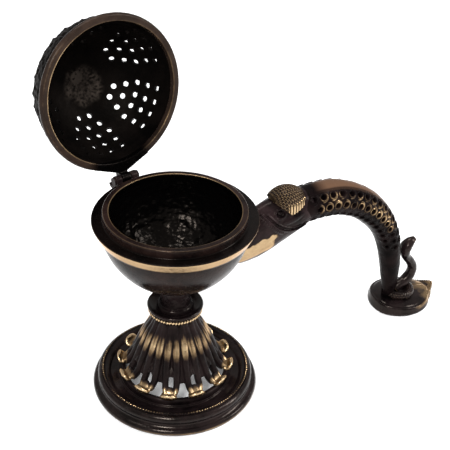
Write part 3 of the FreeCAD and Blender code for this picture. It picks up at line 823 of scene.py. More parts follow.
def bowl():
    """Turned outside with a polished band; the inside is left rough from the mould."""
    corners = outline(
        (STEM_BORE, BOWL_SEAT), (14.4, BOWL_SEAT),
        ((32.4, 90.0), (40.9, 110.0), 34),
        (42.4, 110.1), (45.15, 116.0), (44.9, FLANGE_TOP), (39.5, FLANGE_TOP), (39.1, 116.8), (39.1, 120.6),
        ((38.8, 121.2), (38.1, 121.4), 4),
        (36.2, 121.4),
        ((35.6, 121.2), (35.4, 120.5), 4),
        ((28.6, 90.6), (7.0, 79.6), 60),
        (STEM_BORE, 79.6),
    )
    piece = new_piece("bowl_cast", lathe(softened(corners, 0.25, 0.7), 300), 60)
    points = read_points(piece)
    height = points[:, 2]
    normals = read_normals(piece)
    radius = off_axis(points)
    hollow_middle = np.array([0.0, 0.0, 108.0])
    inwards = unit(hollow_middle - points)
    facing = np.einsum("ij,ij->i", normals, inwards)
    inside = ramp(facing, 0.3, 0.7) * ramp(height, 80.0, 81.5) * ramp(height, 120.0, 117.0)
    outside = ramp(facing, -0.3, -0.7) * ramp(height, 109.5, 106.0) * ramp(height, 77.0, 80.0)
    dents = 0.35 * rough(points, 6.0, 31, 4) + 0.25 * rough(points, 2.6, 37, 2)
    push(piece, -inside * (dents + 0.3) + outside * 0.08 * rough(points, 14.0, 33, 2))
    band = ramp(height, 110.5, 111.2) * ramp(height, 116.35, 115.9) * ramp(radius, 41.8, 42.4)
    lip = hump(height, 121.1, 0.45) * (hump(radius, 35.8, 0.5) + 0.6 * hump(radius, 38.7, 0.4))
    outer_edge = hump(radius, 45.05, 0.22) * ramp(height, 115.6, 116.3)
    paint(piece, "wear_and_highlight", 0.98 * band + 0.95 * lip + 0.30 * outer_edge - 0.30)
    # Real soot darkens the inside of the bowl; the flange's upper face is painted near-black as painted
    # shade.
    shaded_flange = ramp(height, 116.2, 116.4) * ramp(height, 117.2, 116.8) * ramp(radius, 44.9, 44.6)
    paint(piece, "soot_and_shade", np.maximum(ramp(facing, 0.25, 0.5), 0.8 * shaded_flange))
    return piece


def hinge_frame(u, v, w):
    """Places (outwards, up, sideways) coordinates of the hinge's plane in the part's frame."""
    points = np.stack([u, -np.asarray(w), v], 1)
    return turned_about_z(points, HINGE_BEARING)


def knuckle(radius):
    """Half round about the hinge pin: the upper half, or the lower one for a negative radius."""
    return [(HINGE_RADIUS + radius * math.cos(a), HINGE_HEIGHT + radius * math.sin(a))
            for a in np.linspace(0, math.pi, 16)]


def bracket():
    """Softened fork with two ears and a stop shelf."""
    ear = [(43.6, 109.2), (51.6, 109.2)] + knuckle(2.8) + [(45.6, 114.0), (44.4, 114.4)]
    shelf = [(42.2, 108.6), (51.0, 108.6), (54.6, 109.3), (56.2, 110.9), (56.2, 111.5), (42.6, 111.5)]
    shells = [plate(softened(shelf, 0.5, 0.6), -7.0, 7.0, hinge_frame)]
    for low, high in ((-7.0, -3.15), (3.15, 7.0)):
        shells.append(plate(softened(ear, 0.8, 0.6), low, high, hinge_frame))
    piece = cast("hinge_bracket_cast", shells, 0.28, 3, 60)
    push(piece, 0.08 * rough(read_points(piece), 3.0, 75) - 0.06)
    worn_edges(piece, 0.14, -0.50)
    return piece


# ---------------------------------------------------------------------------
# Makara head, crest and eyes
# ---------------------------------------------------------------------------

# Head sections, from the neck to the chin: x, half width, lowest and highest point.
HEAD = (
    (85.0, 9.4, 90.6, 109.0),
    (82.0, 10.2, 87.9, 110.2),
    (76.0, 10.45, 84.6, 110.4),
    (67.0, 10.0, 80.2, 110.0),
    (59.0, 9.6, 76.4, 108.8),
    (52.0, 9.0, 74.0, 106.4),
    (45.0, 8.4, 72.9, 102.8),
    (38.0, 7.5, 73.4, 97.8),
    (31.0, 5.3, 77.4, 91.8),
    (28.5, 2.6, 81.0, 88.5),
)


def head_section(x):
    """Half width, centre height and half height of the head at a place along the handle."""
    table = np.array(HEAD)[::-1]
    half_width, low, high = (np.interp(x, table[:, 0], table[:, k]) for k in (1, 2, 3))
    return half_width, (low + high) / 2, (high - low) / 2


def on_cheek(x, z, side, lift=0.0):
    """The point of the head's flank at (x, z), moved outwards by lift."""
    half_width, centre, half_height = head_section(np.asarray(x, float))
    rise = np.clip((np.asarray(z, float) - centre) / half_height, -0.97, 0.97)
    y = side * (half_width * np.sqrt(1 - rise ** 2) + lift)
    return np.stack([np.asarray(x, float), y, np.asarray(z, float)], 1)


EYE_X = 62.5
EYE_Z = 103.4

LIP_LINE = ((51.5, 104.6), (54.0, 102.0), (57.2, 98.6), (60.4, 95.4), (64.6, 92.8), (69.6, 91.4),
            (74.6, 91.6), (79.0, 93.2))


def tube_on_cheek(line, side, radius, lift):
    """A cord that follows a line of (x, z) points over one cheek."""
    count, segments = 60, 10
    path = spline(line, count)
    points = on_cheek(path[:, 0], path[:, 1], side, lift)
    across = unit(np.gradient(points, axis=0))
    first = unit(np.cross(across, Y_AXIS))
    second = np.cross(across, first)
    angle = full_turn(segments)
    ring = (np.cos(angle)[None, :, None] * first[:, None, :]
            + np.sin(angle)[None, :, None] * second[:, None, :])
    shell = (points[:, None, :] + radius * ring).reshape(-1, 3)
    faces = grid_faces(count, segments)
    cap_ends(faces, count, segments)
    return shell, faces


def head_features(side):
    """Lip, teeth beads, eye socket and brow on one cheek."""
    shells = [tube_on_cheek(LIP_LINE, side, 0.75, 0.25)]
    upper_lip = [(x + 0.9, z + 2.0) for x, z in LIP_LINE[1:-1]]
    shells.append(tube_on_cheek(upper_lip, side, 0.5, 0.2))
    teeth = spline([(x - 1.0, z - 1.7) for x, z in LIP_LINE[:5]], 13)
    for point in on_cheek(teeth[:, 0], teeth[:, 1], side, 0.1):
        shells.append(ball(point, (0.75, 0.7, 0.75), 7, 9))
    angle = np.linspace(0, TURN, 40)
    socket = [(EYE_X + 3.3 * math.cos(a), EYE_Z + 2.4 * math.sin(a) + 0.7 * math.cos(a)) for a in angle]
    shells.append(tube_on_cheek(socket, side, 0.55, 0.2))
    cheek = spline(((61.0, 97.0, 1.6), (66.0, 97.6, 2.6), (71.0, 98.8, 2.8), (76.0, 100.2, 2.2),
                    (80.0, 101.2, 1.3)), 30)
    middle = on_cheek(cheek[:, 0], cheek[:, 1], side, -1.6)
    shells.append(sweep(middle, Y_AXIS, 2.5 * cheek[:, 2] / 3.0, cheek[:, 2], 20))
    return shells


def makara_head():
    """Head with its mouth against the bowl."""
    sides = 48
    level = 100.0
    path = spline(HEAD, 60)
    straight = in_middle_plane(path[:, 0], np.full(len(path), level))
    skull, faces = sweep(straight, Y_AXIS, path[:, 1], (path[:, 3] - path[:, 2]) / 2, sides)
    skull[:, 2] += np.repeat((path[:, 2] + path[:, 3]) / 2 - level, sides)
    shells = [(skull, faces)] + head_features(-1) + head_features(1)
    piece = cast("makara_head_cast", shells, 0.34, 3, 70)
    points = read_points(piece)
    lip = spline(LIP_LINE, 80)
    off_lip = np.hypot(points[:, 0][:, None] - lip[:, 0] - 0.4, points[:, 2][:, None] - lip[:, 1] - 1.0)
    reach = np.min(off_lip, axis=1)
    eye = np.hypot((points[:, 0] - EYE_X) / 2.8, (points[:, 2] - EYE_Z) / 2.0)
    flank = ramp(np.abs(points[:, 1]), 4.5, 6.5)
    push(piece, -0.9 * hump(reach, 0.0, 0.6) * flank - 1.2 * ramp(eye, 1.0, 0.6) * flank
         + 0.08 * rough(points, 4.0, 41))
    trim_to_bowl(piece)
    points = read_points(piece)
    standing = standing_out(piece, 0.1, 6)
    across = (points[:, 0] - 46.0) * -0.25 + points[:, 2]
    ragged = 1.3 * rough(points, 3.0, 45)
    jaw_flat = ramp(across, 77.0, 78.5) * ramp(across + ragged, 89.0, 87.2)
    jaw_flat = jaw_flat * ramp(points[:, 0] + ragged, 61.5, 58.0) * ramp(np.abs(points[:, 1]), 3.0, 5.0)
    lids = hump(eye, 1.15, 0.22) * flank
    paint(piece, "wear_and_highlight", 1.0 * jaw_flat + 0.25 * lids + 0.16 * standing - 0.34)
    return piece


def trim_to_bowl(piece):
    """Pulls what would lie inside the bowl back to just under its skin."""
    points = read_points(piece)
    radius = off_axis(points)
    heights = np.array([BOWL_SEAT, 80.0, 85.0, 90.0, 95.0, 100.0, 105.0, 110.0, 110.2, FLANGE_TOP])
    skin = np.array([14.4, 22.3, 28.4, 32.5, 35.7, 38.1, 39.8, 40.8, 42.4, 45.0])
    wanted = np.interp(points[:, 2], heights, skin) - 0.5
    inside = (radius < wanted) & (points[:, 2] > BOWL_SEAT)
    points[inside, :2] *= (wanted[inside] / np.maximum(radius[inside], 1e-6))[:, None]
    write_points(piece, points)


CREST_X = 70.4
CREST_Z = 104.4
CREST_RADII = (12.8, 10.6, 10.8)


def crest_edge(x):
    """Height of the crest's lower edge, which dips behind the eye."""
    return np.interp(x, [52.0, 69.0, 88.0], [116.4, 102.2, 109.4])


def crest_surface(turn, share, lift):
    """A point of the crest's cap: turn runs from front to rear, share from one edge to the other."""
    length, width, height = (radius + lift for radius in CREST_RADII)
    x = CREST_X + length * np.sin(turn)
    level = (crest_edge(x) - CREST_Z) / (height * np.cos(turn))
    reach = np.arccos(np.clip(level, -0.3, 1.0))
    around = share * reach
    y = width * np.cos(turn) * np.sin(around)
    z = CREST_Z + height * np.cos(turn) * np.cos(around)
    return np.stack([x, y, z], -1)


def head_crest():
    """Corded cap with notches along its front edge and a pleated fringe along its rear one."""
    rows, columns = 150, 240
    turn = np.linspace(-1.0, 1.17, rows)[:, None] + np.zeros((1, columns))
    share = np.linspace(-1, 1, columns)[None, :] + np.zeros((rows, 1))
    x = CREST_X + CREST_RADII[0] * np.sin(turn)
    fringe = ramp(np.abs(share), 0.64, 0.72) * ramp(x, 66.0, 67.5)
    cords = np.abs(np.cos(share * 7.5 * math.pi)) ** 0.7
    notches = np.cos(x * TURN / 1.7 + 1.2 * np.sin(share * 15.0 * math.pi))
    front = ramp(x, 64.0, 60.0) * np.abs(np.cos(share * 8 * math.pi)) ** 0.6
    pleats = np.abs(np.cos(x * math.pi / 1.9)) ** 0.8
    lift = (0.50 * cords + 0.13 * notches) * (1 - fringe) + 0.75 * pleats * fringe + 0.3 * front - 0.75
    top = crest_surface(turn, share, lift)
    core = np.array([CREST_X, 0.0, CREST_Z - 3.0])
    under = core + (top - core) * 0.72
    points = np.vstack([top.reshape(-1, 3), under.reshape(-1, 3)])
    upper = grid_faces(rows, columns, close_columns=False)
    lower = [[i + rows * columns for i in face[::-1]] for face in upper]
    index = np.arange(rows * columns).reshape(rows, columns)
    rim = np.concatenate([index[0], index[1:, -1], index[-1, -2::-1], index[-2:0:-1, 0]])
    walls = [[int(a), int(b), int(b) + rows * columns, int(a) + rows * columns]
             for a, b in zip(rim, np.roll(rim, -1))]
    piece = new_piece("head_crest_cap", (points, upper + lower + walls), 60)
    standing = standing_out(piece, 0.05, 3)
    on_fringe = np.tile(fringe.ravel(), 2)
    paint(piece, "wear_and_highlight", 0.36 * standing + 0.42 * on_fringe * ramp(standing, -0.4, 0.5) + 0.06)
    return piece


def makara_eyes():
    shells = []
    for side in (-1, 1):
        centre = on_cheek([EYE_X], [EYE_Z], side, -1.5)[0]
        shells.append(ball(centre, (1.9, 1.9, 1.4), 14, 20))
    piece = new_piece("makara_eye_pair", joined(shells))
    paint(piece, "wear_and_highlight", np.full(len(piece.data.vertices), -0.4))
    return piece


# ---------------------------------------------------------------------------
# Arched body
# ---------------------------------------------------------------------------

# Rows of scales on each flank: degrees from the back, stagger and height of the rings.
SCALE_ROWS = (
    (51.0, 0.0, 0.50),
    (88.0, 0.5, 0.50),
    (129.0, 0.0, 0.32),
)
SCALE_PITCH = 6.1
SCALES_START = 5.8
SCALES_COUNT = 15
HOLE_RADIUS = 1.6
HOLE_DEPTH = 2.8


def scales():
    """Each scale's distance along the body, angle from the back, ring height and share of full size."""
    for degrees, stagger, height in SCALE_ROWS:
        for side in (-1, 1):
            for number in range(SCALES_COUNT):
                place = SCALES_START + (number + stagger) * SCALE_PITCH
                size = float(np.interp(place, [0, 60, 95], [1.0, 0.95, 0.78]))
                yield place, side * math.radians(degrees), height, size


def handle_body():
    """Arched body: grid with drilled scales on both flanks and a smooth back."""
    rows, columns = 470, 208
    path = spline(HANDLE, rows)
    centres = in_middle_plane(path[:, 0], path[:, 1])
    radius = path[:, 2] / 2
    back = np.cross(unit(np.gradient(centres, axis=0)), Y_AXIS) * -1
    back = back * np.sign(back[:, 2] + 0.5 * back[:, 0])[:, None]
    along = run_lengths(centres)
    s_grid = np.repeat(along[:, None], columns, 1)
    angle = wrapped(np.repeat(full_turn(columns)[None, :], rows, 0))
    relief = np.zeros((rows, columns))
    depth = np.zeros((rows, columns))
    worn = np.zeros((rows, columns))
    snap = 0.18
    for place, row_angle, ring_height, size in scales():
        local = float(np.interp(place, along, radius))
        gap_s = s_grid - place
        gap_a = wrapped(angle - row_angle) * local
        near = (np.abs(gap_s) < 5) & (np.abs(gap_a) < 5)
        distance = np.hypot(gap_s, gap_a)
        inner_ring = ring_height * hump(distance, 2.2 * size, 0.30)
        outer_ring = ring_height * hump(np.hypot(gap_s + 0.55, gap_a), 3.1 * size, 0.30)
        rings = np.maximum(inner_ring, outer_ring * ramp(gap_s, -1.8, -0.4))
        relief = np.where(near, np.maximum(relief, rings), relief)
        worn = np.where(near, np.maximum(worn, rings / ring_height), worn)
        hole = HOLE_RADIUS * size
        pull = near & (distance < hole + snap)
        factor = np.where(pull & (distance > hole - snap), hole / np.maximum(distance, 1e-6), 1.0)
        s_grid = s_grid + np.where(pull, gap_s * (factor - 1), 0)
        angle = angle + np.where(pull, gap_a * (factor - 1) / local, 0)
        depth = np.where(pull & (distance < hole - snap), HOLE_DEPTH * size, depth)
    fade = ramp(s_grid, 2.0, 4.5)
    zone_end = SCALES_START + SCALES_COUNT * SCALE_PITCH
    unrolled = np.stack([s_grid.ravel(), (angle * 10).ravel(), 0 * s_grid.ravel()], 1)
    lumps = 0.12 * rough(unrolled, 6.0, 51)
    height = relief * fade - depth - 0.18 + lumps.reshape(rows, columns) * ramp(s_grid, 2, 8)
    centre_at = looked_up(s_grid, along, centres)
    back_at = unit(looked_up(s_grid, along, back))
    direction = np.cos(angle)[..., None] * back_at + np.sin(angle)[..., None] * Y_AXIS
    reach = np.interp(s_grid, along, radius) + height
    points = (centre_at + direction * reach[..., None]).reshape(-1, 3)
    faces = grid_faces(rows, columns)
    cap_ends(faces, rows, columns)
    piece = new_piece("handle_body_drilled", (points, faces), 45)
    off_back = np.abs(np.degrees(angle))
    on_flank = ramp(off_back, 24, 38)
    in_zone = ramp(s_grid, 3, 12) * ramp(s_grid, zone_end, zone_end - 30)
    patchy = 0.75 + 0.5 * rough(read_points(piece), 7.0, 57).reshape(rows, columns)
    rubbed_and_highlight = 0.50 * worn * ramp(depth, 0.5, 0.1) + 0.30
    wear_and_highlight = 1.4 * rubbed_and_highlight * np.clip(patchy, 0.15, 1) * hump(off_back, 78, 38) * on_flank * in_zone
    edge_line = hump(off_back, 30, 4)
    red = ramp(off_back, 40, 24) * ramp(s_grid, 8, 18) * ramp(s_grid, zone_end + 6, zone_end - 25)
    red = red * (1 - 0.7 * edge_line)
    paint(piece, "wear_and_highlight", (wear_and_highlight - 0.30 - 0.9 * ramp(depth, 0.2, 0.6)).ravel())
    paint(piece, "red", red.ravel())
    return piece


# ---------------------------------------------------------------------------
# Leaf foot, coil and cobra
# ---------------------------------------------------------------------------

LEAF_MIDDLE = (165.0, 1.0)
LEAF_HOLE = (189.5, 1.6)

LEAF_EDGE = ((196.5, 2.6), (193.8, -0.4), (190.2, -3.5), (182.7, -10.5), (172.7, -17.4), (164.2, -18.3),
             (153.6, -14.8), (147.0, -8.2), (145.6, 1.6), (149.6, 11.8), (156.2, 17.6), (166.4, 19.8),
             (177.0, 15.4), (185.4, 9.4), (191.0, 6.3), (194.6, 4.6))


def leaf_radius(angle):
    """Distance from the leaf's middle to its edge at each bearing."""
    edge = np.array(LEAF_EDGE) - LEAF_MIDDLE
    bearings = bearing_of(edge) % TURN
    order = np.argsort(bearings)
    reach = off_axis(edge)[order]
    return np.interp(angle % TURN, bearings[order], reach, period=TURN)


def leaf_foot():
    """Leaf with a raised middle, a vein and a beaded edge."""
    rings, columns = 60, 300
    middle_x, middle_y = LEAF_MIDDLE
    hole_x, hole_y = LEAF_HOLE
    share = np.linspace(0, 1, rings) ** 0.8
    angle = full_turn(columns)
    edge = leaf_radius(angle)
    for _ in range(4):
        edge = (np.roll(edge, 1) + 2 * edge + np.roll(edge, -1)) / 4
    reach = edge[None, :] * share[:, None]
    x = middle_x + reach * np.cos(angle)
    y = middle_y + reach * np.sin(angle)
    from_edge = edge[None, :] * (1 - share[:, None])
    dome = 7.9 * np.sqrt(np.clip(1 - ((x - 160) / 31.0) ** 2 - (y / 23.0) ** 2, 0, 1))
    top = np.maximum(dome, 2.5)
    top = top * (1 - 0.62 * hump(from_edge, 0, 0.7)) - 0.35 * hump(from_edge, 2.6, 0.7)
    top = top - 0.3 * hump(y - 0.08 * (x - middle_x), 0, 0.5) * ramp(x, 174, 178)
    top = top - 1.4 * ramp(np.hypot(x - hole_x, y - hole_y), 1.3, 0.8)
    upper = np.stack([x, y, top], -1)
    under_rings = 14
    lower_share = np.linspace(1, 0.02, under_rings)
    lower_height = np.interp(lower_share, [0.9, 0.97, 1.0], [0.0, 0.0, 0.7])
    lower = np.stack([middle_x + edge * np.cos(angle) * lower_share[:, None],
                      middle_y + edge * np.sin(angle) * lower_share[:, None],
                      np.repeat(lower_height[:, None], columns, 1)], -1)
    points = np.vstack([upper[1:].reshape(-1, 3), lower.reshape(-1, 3)])
    all_rings = rings - 1 + under_rings
    faces = grid_faces(all_rings, columns)
    cap_ends(faces, all_rings, columns)
    shells = [(points, faces)]
    bead_reach = edge - 1.0
    bead_line = np.stack([middle_x + bead_reach * np.cos(angle), middle_y + bead_reach * np.sin(angle)], 1)
    steps = run_lengths(bead_line)
    for place in np.arange(0, steps[-1], 1.5):
        bead_x, bead_y = looked_up(place, steps, bead_line)
        shells.append(ball((bead_x, bead_y, 2.4), (0.72, 0.72, 0.75), 7, 10))
    piece = new_piece("leaf_foot_cast", joined(shells), 60)
    points = read_points(piece)
    spread = np.arctan2(points[:, 1] - middle_y, points[:, 0] - middle_x)
    edge_gap = leaf_radius(spread) - np.hypot(points[:, 0] - middle_x, points[:, 1] - middle_y)
    tip = ramp(points[:, 0], 165, 182) * ramp(points[:, 2], 0.5, 1.5)
    grime = rough(points, 5.0, 67)
    hole = ramp(np.hypot(points[:, 0] - hole_x, points[:, 1] - hole_y), 1.9, 1.2)
    beads = hump(edge_gap, 1.0, 0.9) * ramp(points[:, 2], 2.4, 2.9) * ramp(points[:, 0], 158, 172)
    paint(piece, "wear_and_highlight", np.maximum((0.60 + 0.25 * grime) * tip, 0.72 * beads) - 0.28 - 0.7 * hole)
    return piece


def snake_coil():
    """Scaly ring of the snake's body under the tail."""
    segments, sides = 220, 44
    thickness = 2.42
    scale_rows = 11
    angle = full_turn(segments)
    ring = np.stack([164.0 + 8.2 * np.cos(angle), 8.2 * np.sin(angle), 9.4 + 0.2 * np.sin(angle * 2)], 1)
    points, faces = sweep(ring, Z_AXIS, thickness, thickness, sides, closed=True)
    around, across = np.divmod(np.arange(len(points)), sides)
    stagger = (across * scale_rows // sides % 2) * math.pi
    lengthwise = np.cos(around * TURN * 17 / segments + stagger / 2)
    scale = np.abs(lengthwise * np.sin(across * math.pi * scale_rows / sides))
    outward = (points - np.repeat(ring, sides, axis=0)) / thickness
    points = points + outward * (0.22 * scale - 0.06)[:, None]
    piece = new_piece("snake_coil_cast", (points, faces), 60)
    worn_edges(piece, 0.22, -0.36)
    return piece


# The cobra's centreline: x, z, half width across the hood and half thickness.
COBRA = (
    (161.0, 10.4, 3.1, 3.1),
    (164.8, 12.6, 3.4, 3.4),
    (169.4, 15.0, 3.6, 3.5),
    (173.0, 19.2, 3.4, 3.4),
    (173.6, 24.4, 3.25, 3.2),
    (170.8, 29.8, 3.0, 2.9),
    (167.2, 34.4, 3.1, 2.9),
    (165.6, 38.8, 4.0, 3.2),
    (166.2, 42.6, 4.4, 3.4),
    (169.0, 45.4, 3.4, 3.0),
    (172.4, 46.8, 1.8, 1.6),
)


def cobra():
    path = spline(COBRA, 120)
    centres = in_middle_plane(path[:, 0], path[:, 1])
    shells = [sweep(centres, Y_AXIS, path[:, 2], path[:, 3], 32)]
    for side in (-1, 1):
        shells.append(ball((170.4, side * 2.1, 46.7), (0.75, 0.7, 0.7), 8, 10))
    piece = cast("cobra_cast", shells, 0.26, 2, 70)
    points = read_points(piece)
    push(piece, 0.08 * rough(points, 2.2, 61) - 0.05)
    worn_edges(piece, 0.12, 0.10 * ramp(points[:, 2], 40, 46) - 0.38, 4)
    return piece


# ---------------------------------------------------------------------------
# Lid
# ---------------------------------------------------------------------------

def lid_plan(u, v, w):
    """Places (outwards, sideways, up) coordinates of the closed lid, then swings it open."""
    return opened(turned_about_z(np.stack([u, v, w], 1), HINGE_BEARING))


def lid_lug_plate(u, v, w):
    return opened(hinge_frame(u, v, w))


def lid_rim_ring():
    """Turned hoop with the tab and lug of the hinge."""
    ring = outline((39.8, LID_BOTTOM), (42.9, LID_BOTTOM), ((44.15, 118.5), (43.6, 120.4), 8),
                   (43.2, LID_RING_TOP), (39.8, LID_RING_TOP))
    hoop, hoop_faces = lathe(softened(ring, 0.3, 0.6), 320)
    touch = math.radians(24.0)
    corner_x, corner_y = 43.9 * math.cos(touch), 43.9 * math.sin(touch)
    tab = [(40.3 * math.cos(a), 40.3 * math.sin(a)) for a in np.linspace(touch, -touch, 16)]
    tab += [(corner_x, -corner_y), (46.4, -2.8), (46.4, 2.8), (corner_x, corner_y)]
    lug = [(44.4, LID_BOTTOM), (46.5, LID_BOTTOM)] + knuckle(-2.9)
    lug += [(52.3, 117.6), (51.6, LID_RING_TOP), (44.4, LID_RING_TOP)]
    shells = [
        (opened(hoop), hoop_faces),
        plate(softened(tab, 0.3, 0.8), LID_BOTTOM, LID_RING_TOP, lid_plan),
        plate(softened(lug, 0.3, 0.5), -2.75, 2.75, lid_lug_plate),
    ]
    piece = cast("lid_rim_ring_cast", shells, 0.34, 3, 60)
    points = read_points(piece)
    push(piece, 0.06 * rough(points, 6.0, 71) - 0.03)
    standing = standing_out(piece, 0.10, 5)
    closed = swung(points, -OPEN_ANGLE)
    off_hinge = np.degrees(wrapped(bearing_of(closed) - HINGE_BEARING))
    radius = off_axis(closed)
    inner_lip = hump(radius, 40.0, 0.6) * ramp(closed[:, 2], 118.0, 117.2)
    # Painted highlight: the hoop's side to the left of the hinge is painted lighter, where the light falls
    # on it.
    lit_left_side = ramp(off_hinge, 30, 70) * ramp(off_hinge, 170, 130)
    by_hinge = ramp(np.abs(off_hinge), 34, 20)
    paint(piece, "wear_and_highlight", 0.10 * standing + 0.42 * inner_lip + (0.04 + 0.42 * standing) * lit_left_side - 0.23)
    paint(piece, "soot_and_shade", by_hinge)
    return piece


# Piercings of one cluster: degrees from the crown, and each hole's bearing from the cluster's middle.
HOLE_ROWS = (
    (34.0, (-8.5, 8.5)),
    (43.5, (-15.0, 0.0, 15.0)),
    (53.0, (-19.0, -6.0, 6.0, 19.0)),
    (62.5, (-18.0, -5.5, 5.5, 18.0)),
    (72.0, (-17.5, -5.5, 5.5, 17.5)),
)
DOME_HOLE = 1.7
CLUSTERS = 6
CLUSTER_PHASE = 3.0


def dome_hole_places():
    """Direction of each piercing from the dome's centre, as (tilt, bearing) in radians."""
    places = []
    for cluster in range(CLUSTERS):
        middle = math.degrees(HINGE_BEARING) + CLUSTER_PHASE + cluster * 360.0 / CLUSTERS
        for tilt, offsets in HOLE_ROWS:
            places += [(math.radians(tilt), math.radians(middle + offset)) for offset in offsets]
    return places


def dome_relief(tilt, bearing):
    """Chased leaves outside: how far the skin stands out at each place."""
    across = (bearing - HINGE_BEARING - math.radians(CLUSTER_PHASE)) * CLUSTERS
    panel = np.abs(np.cos(across / 2))
    frame_line = hump(panel, 0.30 + 0.35 * ramp(tilt, 0.9, 0.5), 0.07) * ramp(tilt, 0.35, 0.5)
    leaf = np.cos(bearing * 42) * np.cos(tilt * 38 + np.cos(bearing * 42) * 0.9)
    lower_leaves = ramp(tilt, 1.30, 1.36) * np.abs(np.cos(bearing * 36)) ** 0.6
    crown = ramp(tilt, 0.42, 0.34) * np.abs(np.cos(bearing * 8)) ** 0.5
    return 0.50 * frame_line + 0.26 * leaf * ramp(tilt, 0.1, 0.3) + 0.35 * lower_leaves + 0.5 * crown


def tilted_direction(tilt, bearing):
    """Unit vector at an angle from the upright, towards a bearing."""
    return np.stack([np.sin(tilt) * np.cos(bearing), np.sin(tilt) * np.sin(bearing), np.cos(tilt)], -1)


def off_patch(direction):
    """Angle from the middle of the scorched patch inside the crown."""
    tilt = 0.17
    bearing = HINGE_BEARING - 0.5
    return np.arccos(np.clip(direction @ tilted_direction(tilt, bearing), -1, 1))


def dome_grid(rows, columns, last_tilt):
    """Tilts and bearings of a grid that fits round the holes, the places inside a hole, and the
    ground that the chasing leaves plain round each hole."""
    tilt = np.repeat(np.linspace(0.045, last_tilt, rows)[:, None], columns, 1)
    bearing = np.repeat(full_turn(columns)[None, :], rows, 0)
    removed = np.zeros((rows, columns), bool)
    angular = DOME_HOLE / DOME_RADIUS
    cell = TURN / columns
    for hole_tilt, hole_bearing in dome_hole_places():
        gap_t = tilt - hole_tilt
        gap_b = wrapped(bearing - hole_bearing)
        distance = np.hypot(gap_t, gap_b * math.sin(hole_tilt))
        near = distance < angular * 1.45
        inside = near & (distance < angular - 0.3 * cell)
        snapped = near & ~inside & (distance < angular + 0.75 * cell)
        factor = np.where(snapped, angular / np.maximum(distance, 1e-9), 1.0)
        tilt = tilt + gap_t * (factor - 1)
        bearing = bearing + gap_b * (factor - 1)
        removed |= inside
    plain = np.zeros((rows, columns))
    for hole_tilt, hole_bearing in dome_hole_places():
        gap_b = wrapped(bearing - hole_bearing)
        distance = np.hypot(tilt - hole_tilt, gap_b * math.sin(hole_tilt)) * DOME_RADIUS
        plain = np.maximum(plain, ramp(distance, 3.2, 2.2))
    return tilt.ravel(), bearing.ravel(), removed.ravel(), plain.ravel()


def lid_dome():
    """Pierced dome: two skins on one grid, joined through every hole and at the rim."""
    rows, columns = 112, 420
    last_tilt = math.acos((LID_RING_TOP - DOME_CENTRE) / DOME_RADIUS)
    tilt, bearing, removed, plain = dome_grid(rows, columns, last_tilt)
    direction = tilted_direction(tilt, bearing)
    on_dome = direction * 42
    fade = ramp(last_tilt - tilt, 0.0, 0.05)
    relief = dome_relief(tilt, bearing) + 0.35 * rough(on_dome, 3.2, 81)
    outer_radius = DOME_RADIUS - 1.3 + np.clip(relief, -0.5, 1.25) * fade * (1 - 0.7 * plain)
    patch = ramp(off_patch(direction) + 0.04 * rough(on_dome, 6.0, 97), 0.34, 0.22)
    inner_noise = 0.12 * rough(on_dome, 5.0, 91, 4) - 0.5 * patch
    inner_noise = inner_noise + 0.60 * patch * rough(on_dome, 2.2, 95)
    inner_radius = DOME_RADIUS - DOME_WALL + 0.15 + inner_noise * fade
    centre = np.array([0, 0, DOME_CENTRE])
    outer = centre + direction * outer_radius[:, None]
    inner = centre + direction * inner_radius[:, None]
    outer[:, 2] = np.maximum(outer[:, 2], LID_RING_TOP)
    inner[:, 2] = np.maximum(inner[:, 2], LID_RING_TOP)
    quads = np.array(grid_faces(rows, columns))
    kept = quads[~removed[quads].any(axis=1)]
    total = rows * columns
    edges = np.concatenate([kept[:, [0, 1]], kept[:, [1, 2]], kept[:, [2, 3]], kept[:, [3, 0]]])
    codes = edges[:, 0] * total + edges[:, 1]
    reverse = edges[:, 1] * total + edges[:, 0]
    border = edges[~np.isin(codes, reverse)]
    crown_edges = (border[:, 0] < columns) & (border[:, 1] < columns)
    walls = [[int(b), int(a), int(a) + total, int(b) + total] for a, b in border[~crown_edges]]
    faces = kept.tolist() + (kept[:, ::-1] + total).tolist() + walls
    faces.append(list(range(columns)))
    faces.append([i + total for i in range(columns)])
    points = np.vstack([outer, inner])
    used = np.unique(np.concatenate([np.array(face) for face in faces]))
    renumber = np.full(2 * total, -1)
    renumber[used] = np.arange(len(used))
    faces = [[int(renumber[i]) for i in face] for face in faces]
    skin = np.repeat([0.0, 1.0], total)[used]
    piece = new_piece("lid_dome_pierced", (opened(points[used]), faces), 55)
    standing = standing_out(piece, 0.16, 4)
    crown_patch = np.tile(patch, 2)[used]
    paint(piece, "wear_and_highlight", np.where(skin > 0.5, 0.12 * standing * crown_patch - 0.5, 0.2 * standing - 0.36))
    streaks = ramp(rough(on_dome, 1.2, 99), -1.1, 0.9)
    paint(piece, "crust", skin * crown_patch * np.tile(streaks, 2)[used])
    return piece


def lid_finial():
    """Fluted bud on the crown."""
    crown = DOME_CENTRE + DOME_RADIUS
    profile = outline(
        (0.05, crown - 1.5), (5.9, crown - 1.5), (6.4, crown - 0.2), (6.2, crown + 0.8),
        ((3.6, crown + 2.2), (2.8, crown + 4.0), 8),
        ((4.8, crown + 8.0), (2.6, crown + 11.4), 16),
        ((1.5, crown + 12.8), (0.05, crown + 13.9), 8),
    )
    points, faces = lathe(profile, 96, closed=False)
    angle = bearing_of(points)
    bud = ramp(points[:, 2], crown + 4.5, crown + 6.0) * ramp(points[:, 2], crown + 13.0, crown + 10.0)
    flute = 1 - 0.10 * bud * (1 - np.abs(np.cos(angle * 4)) ** 0.6) - 0.012
    points[:, :2] *= flute[:, None]
    piece = new_piece("lid_finial_bud", (opened(points), faces), 60)
    worn_edges(piece, 0.12, -0.12)
    return piece


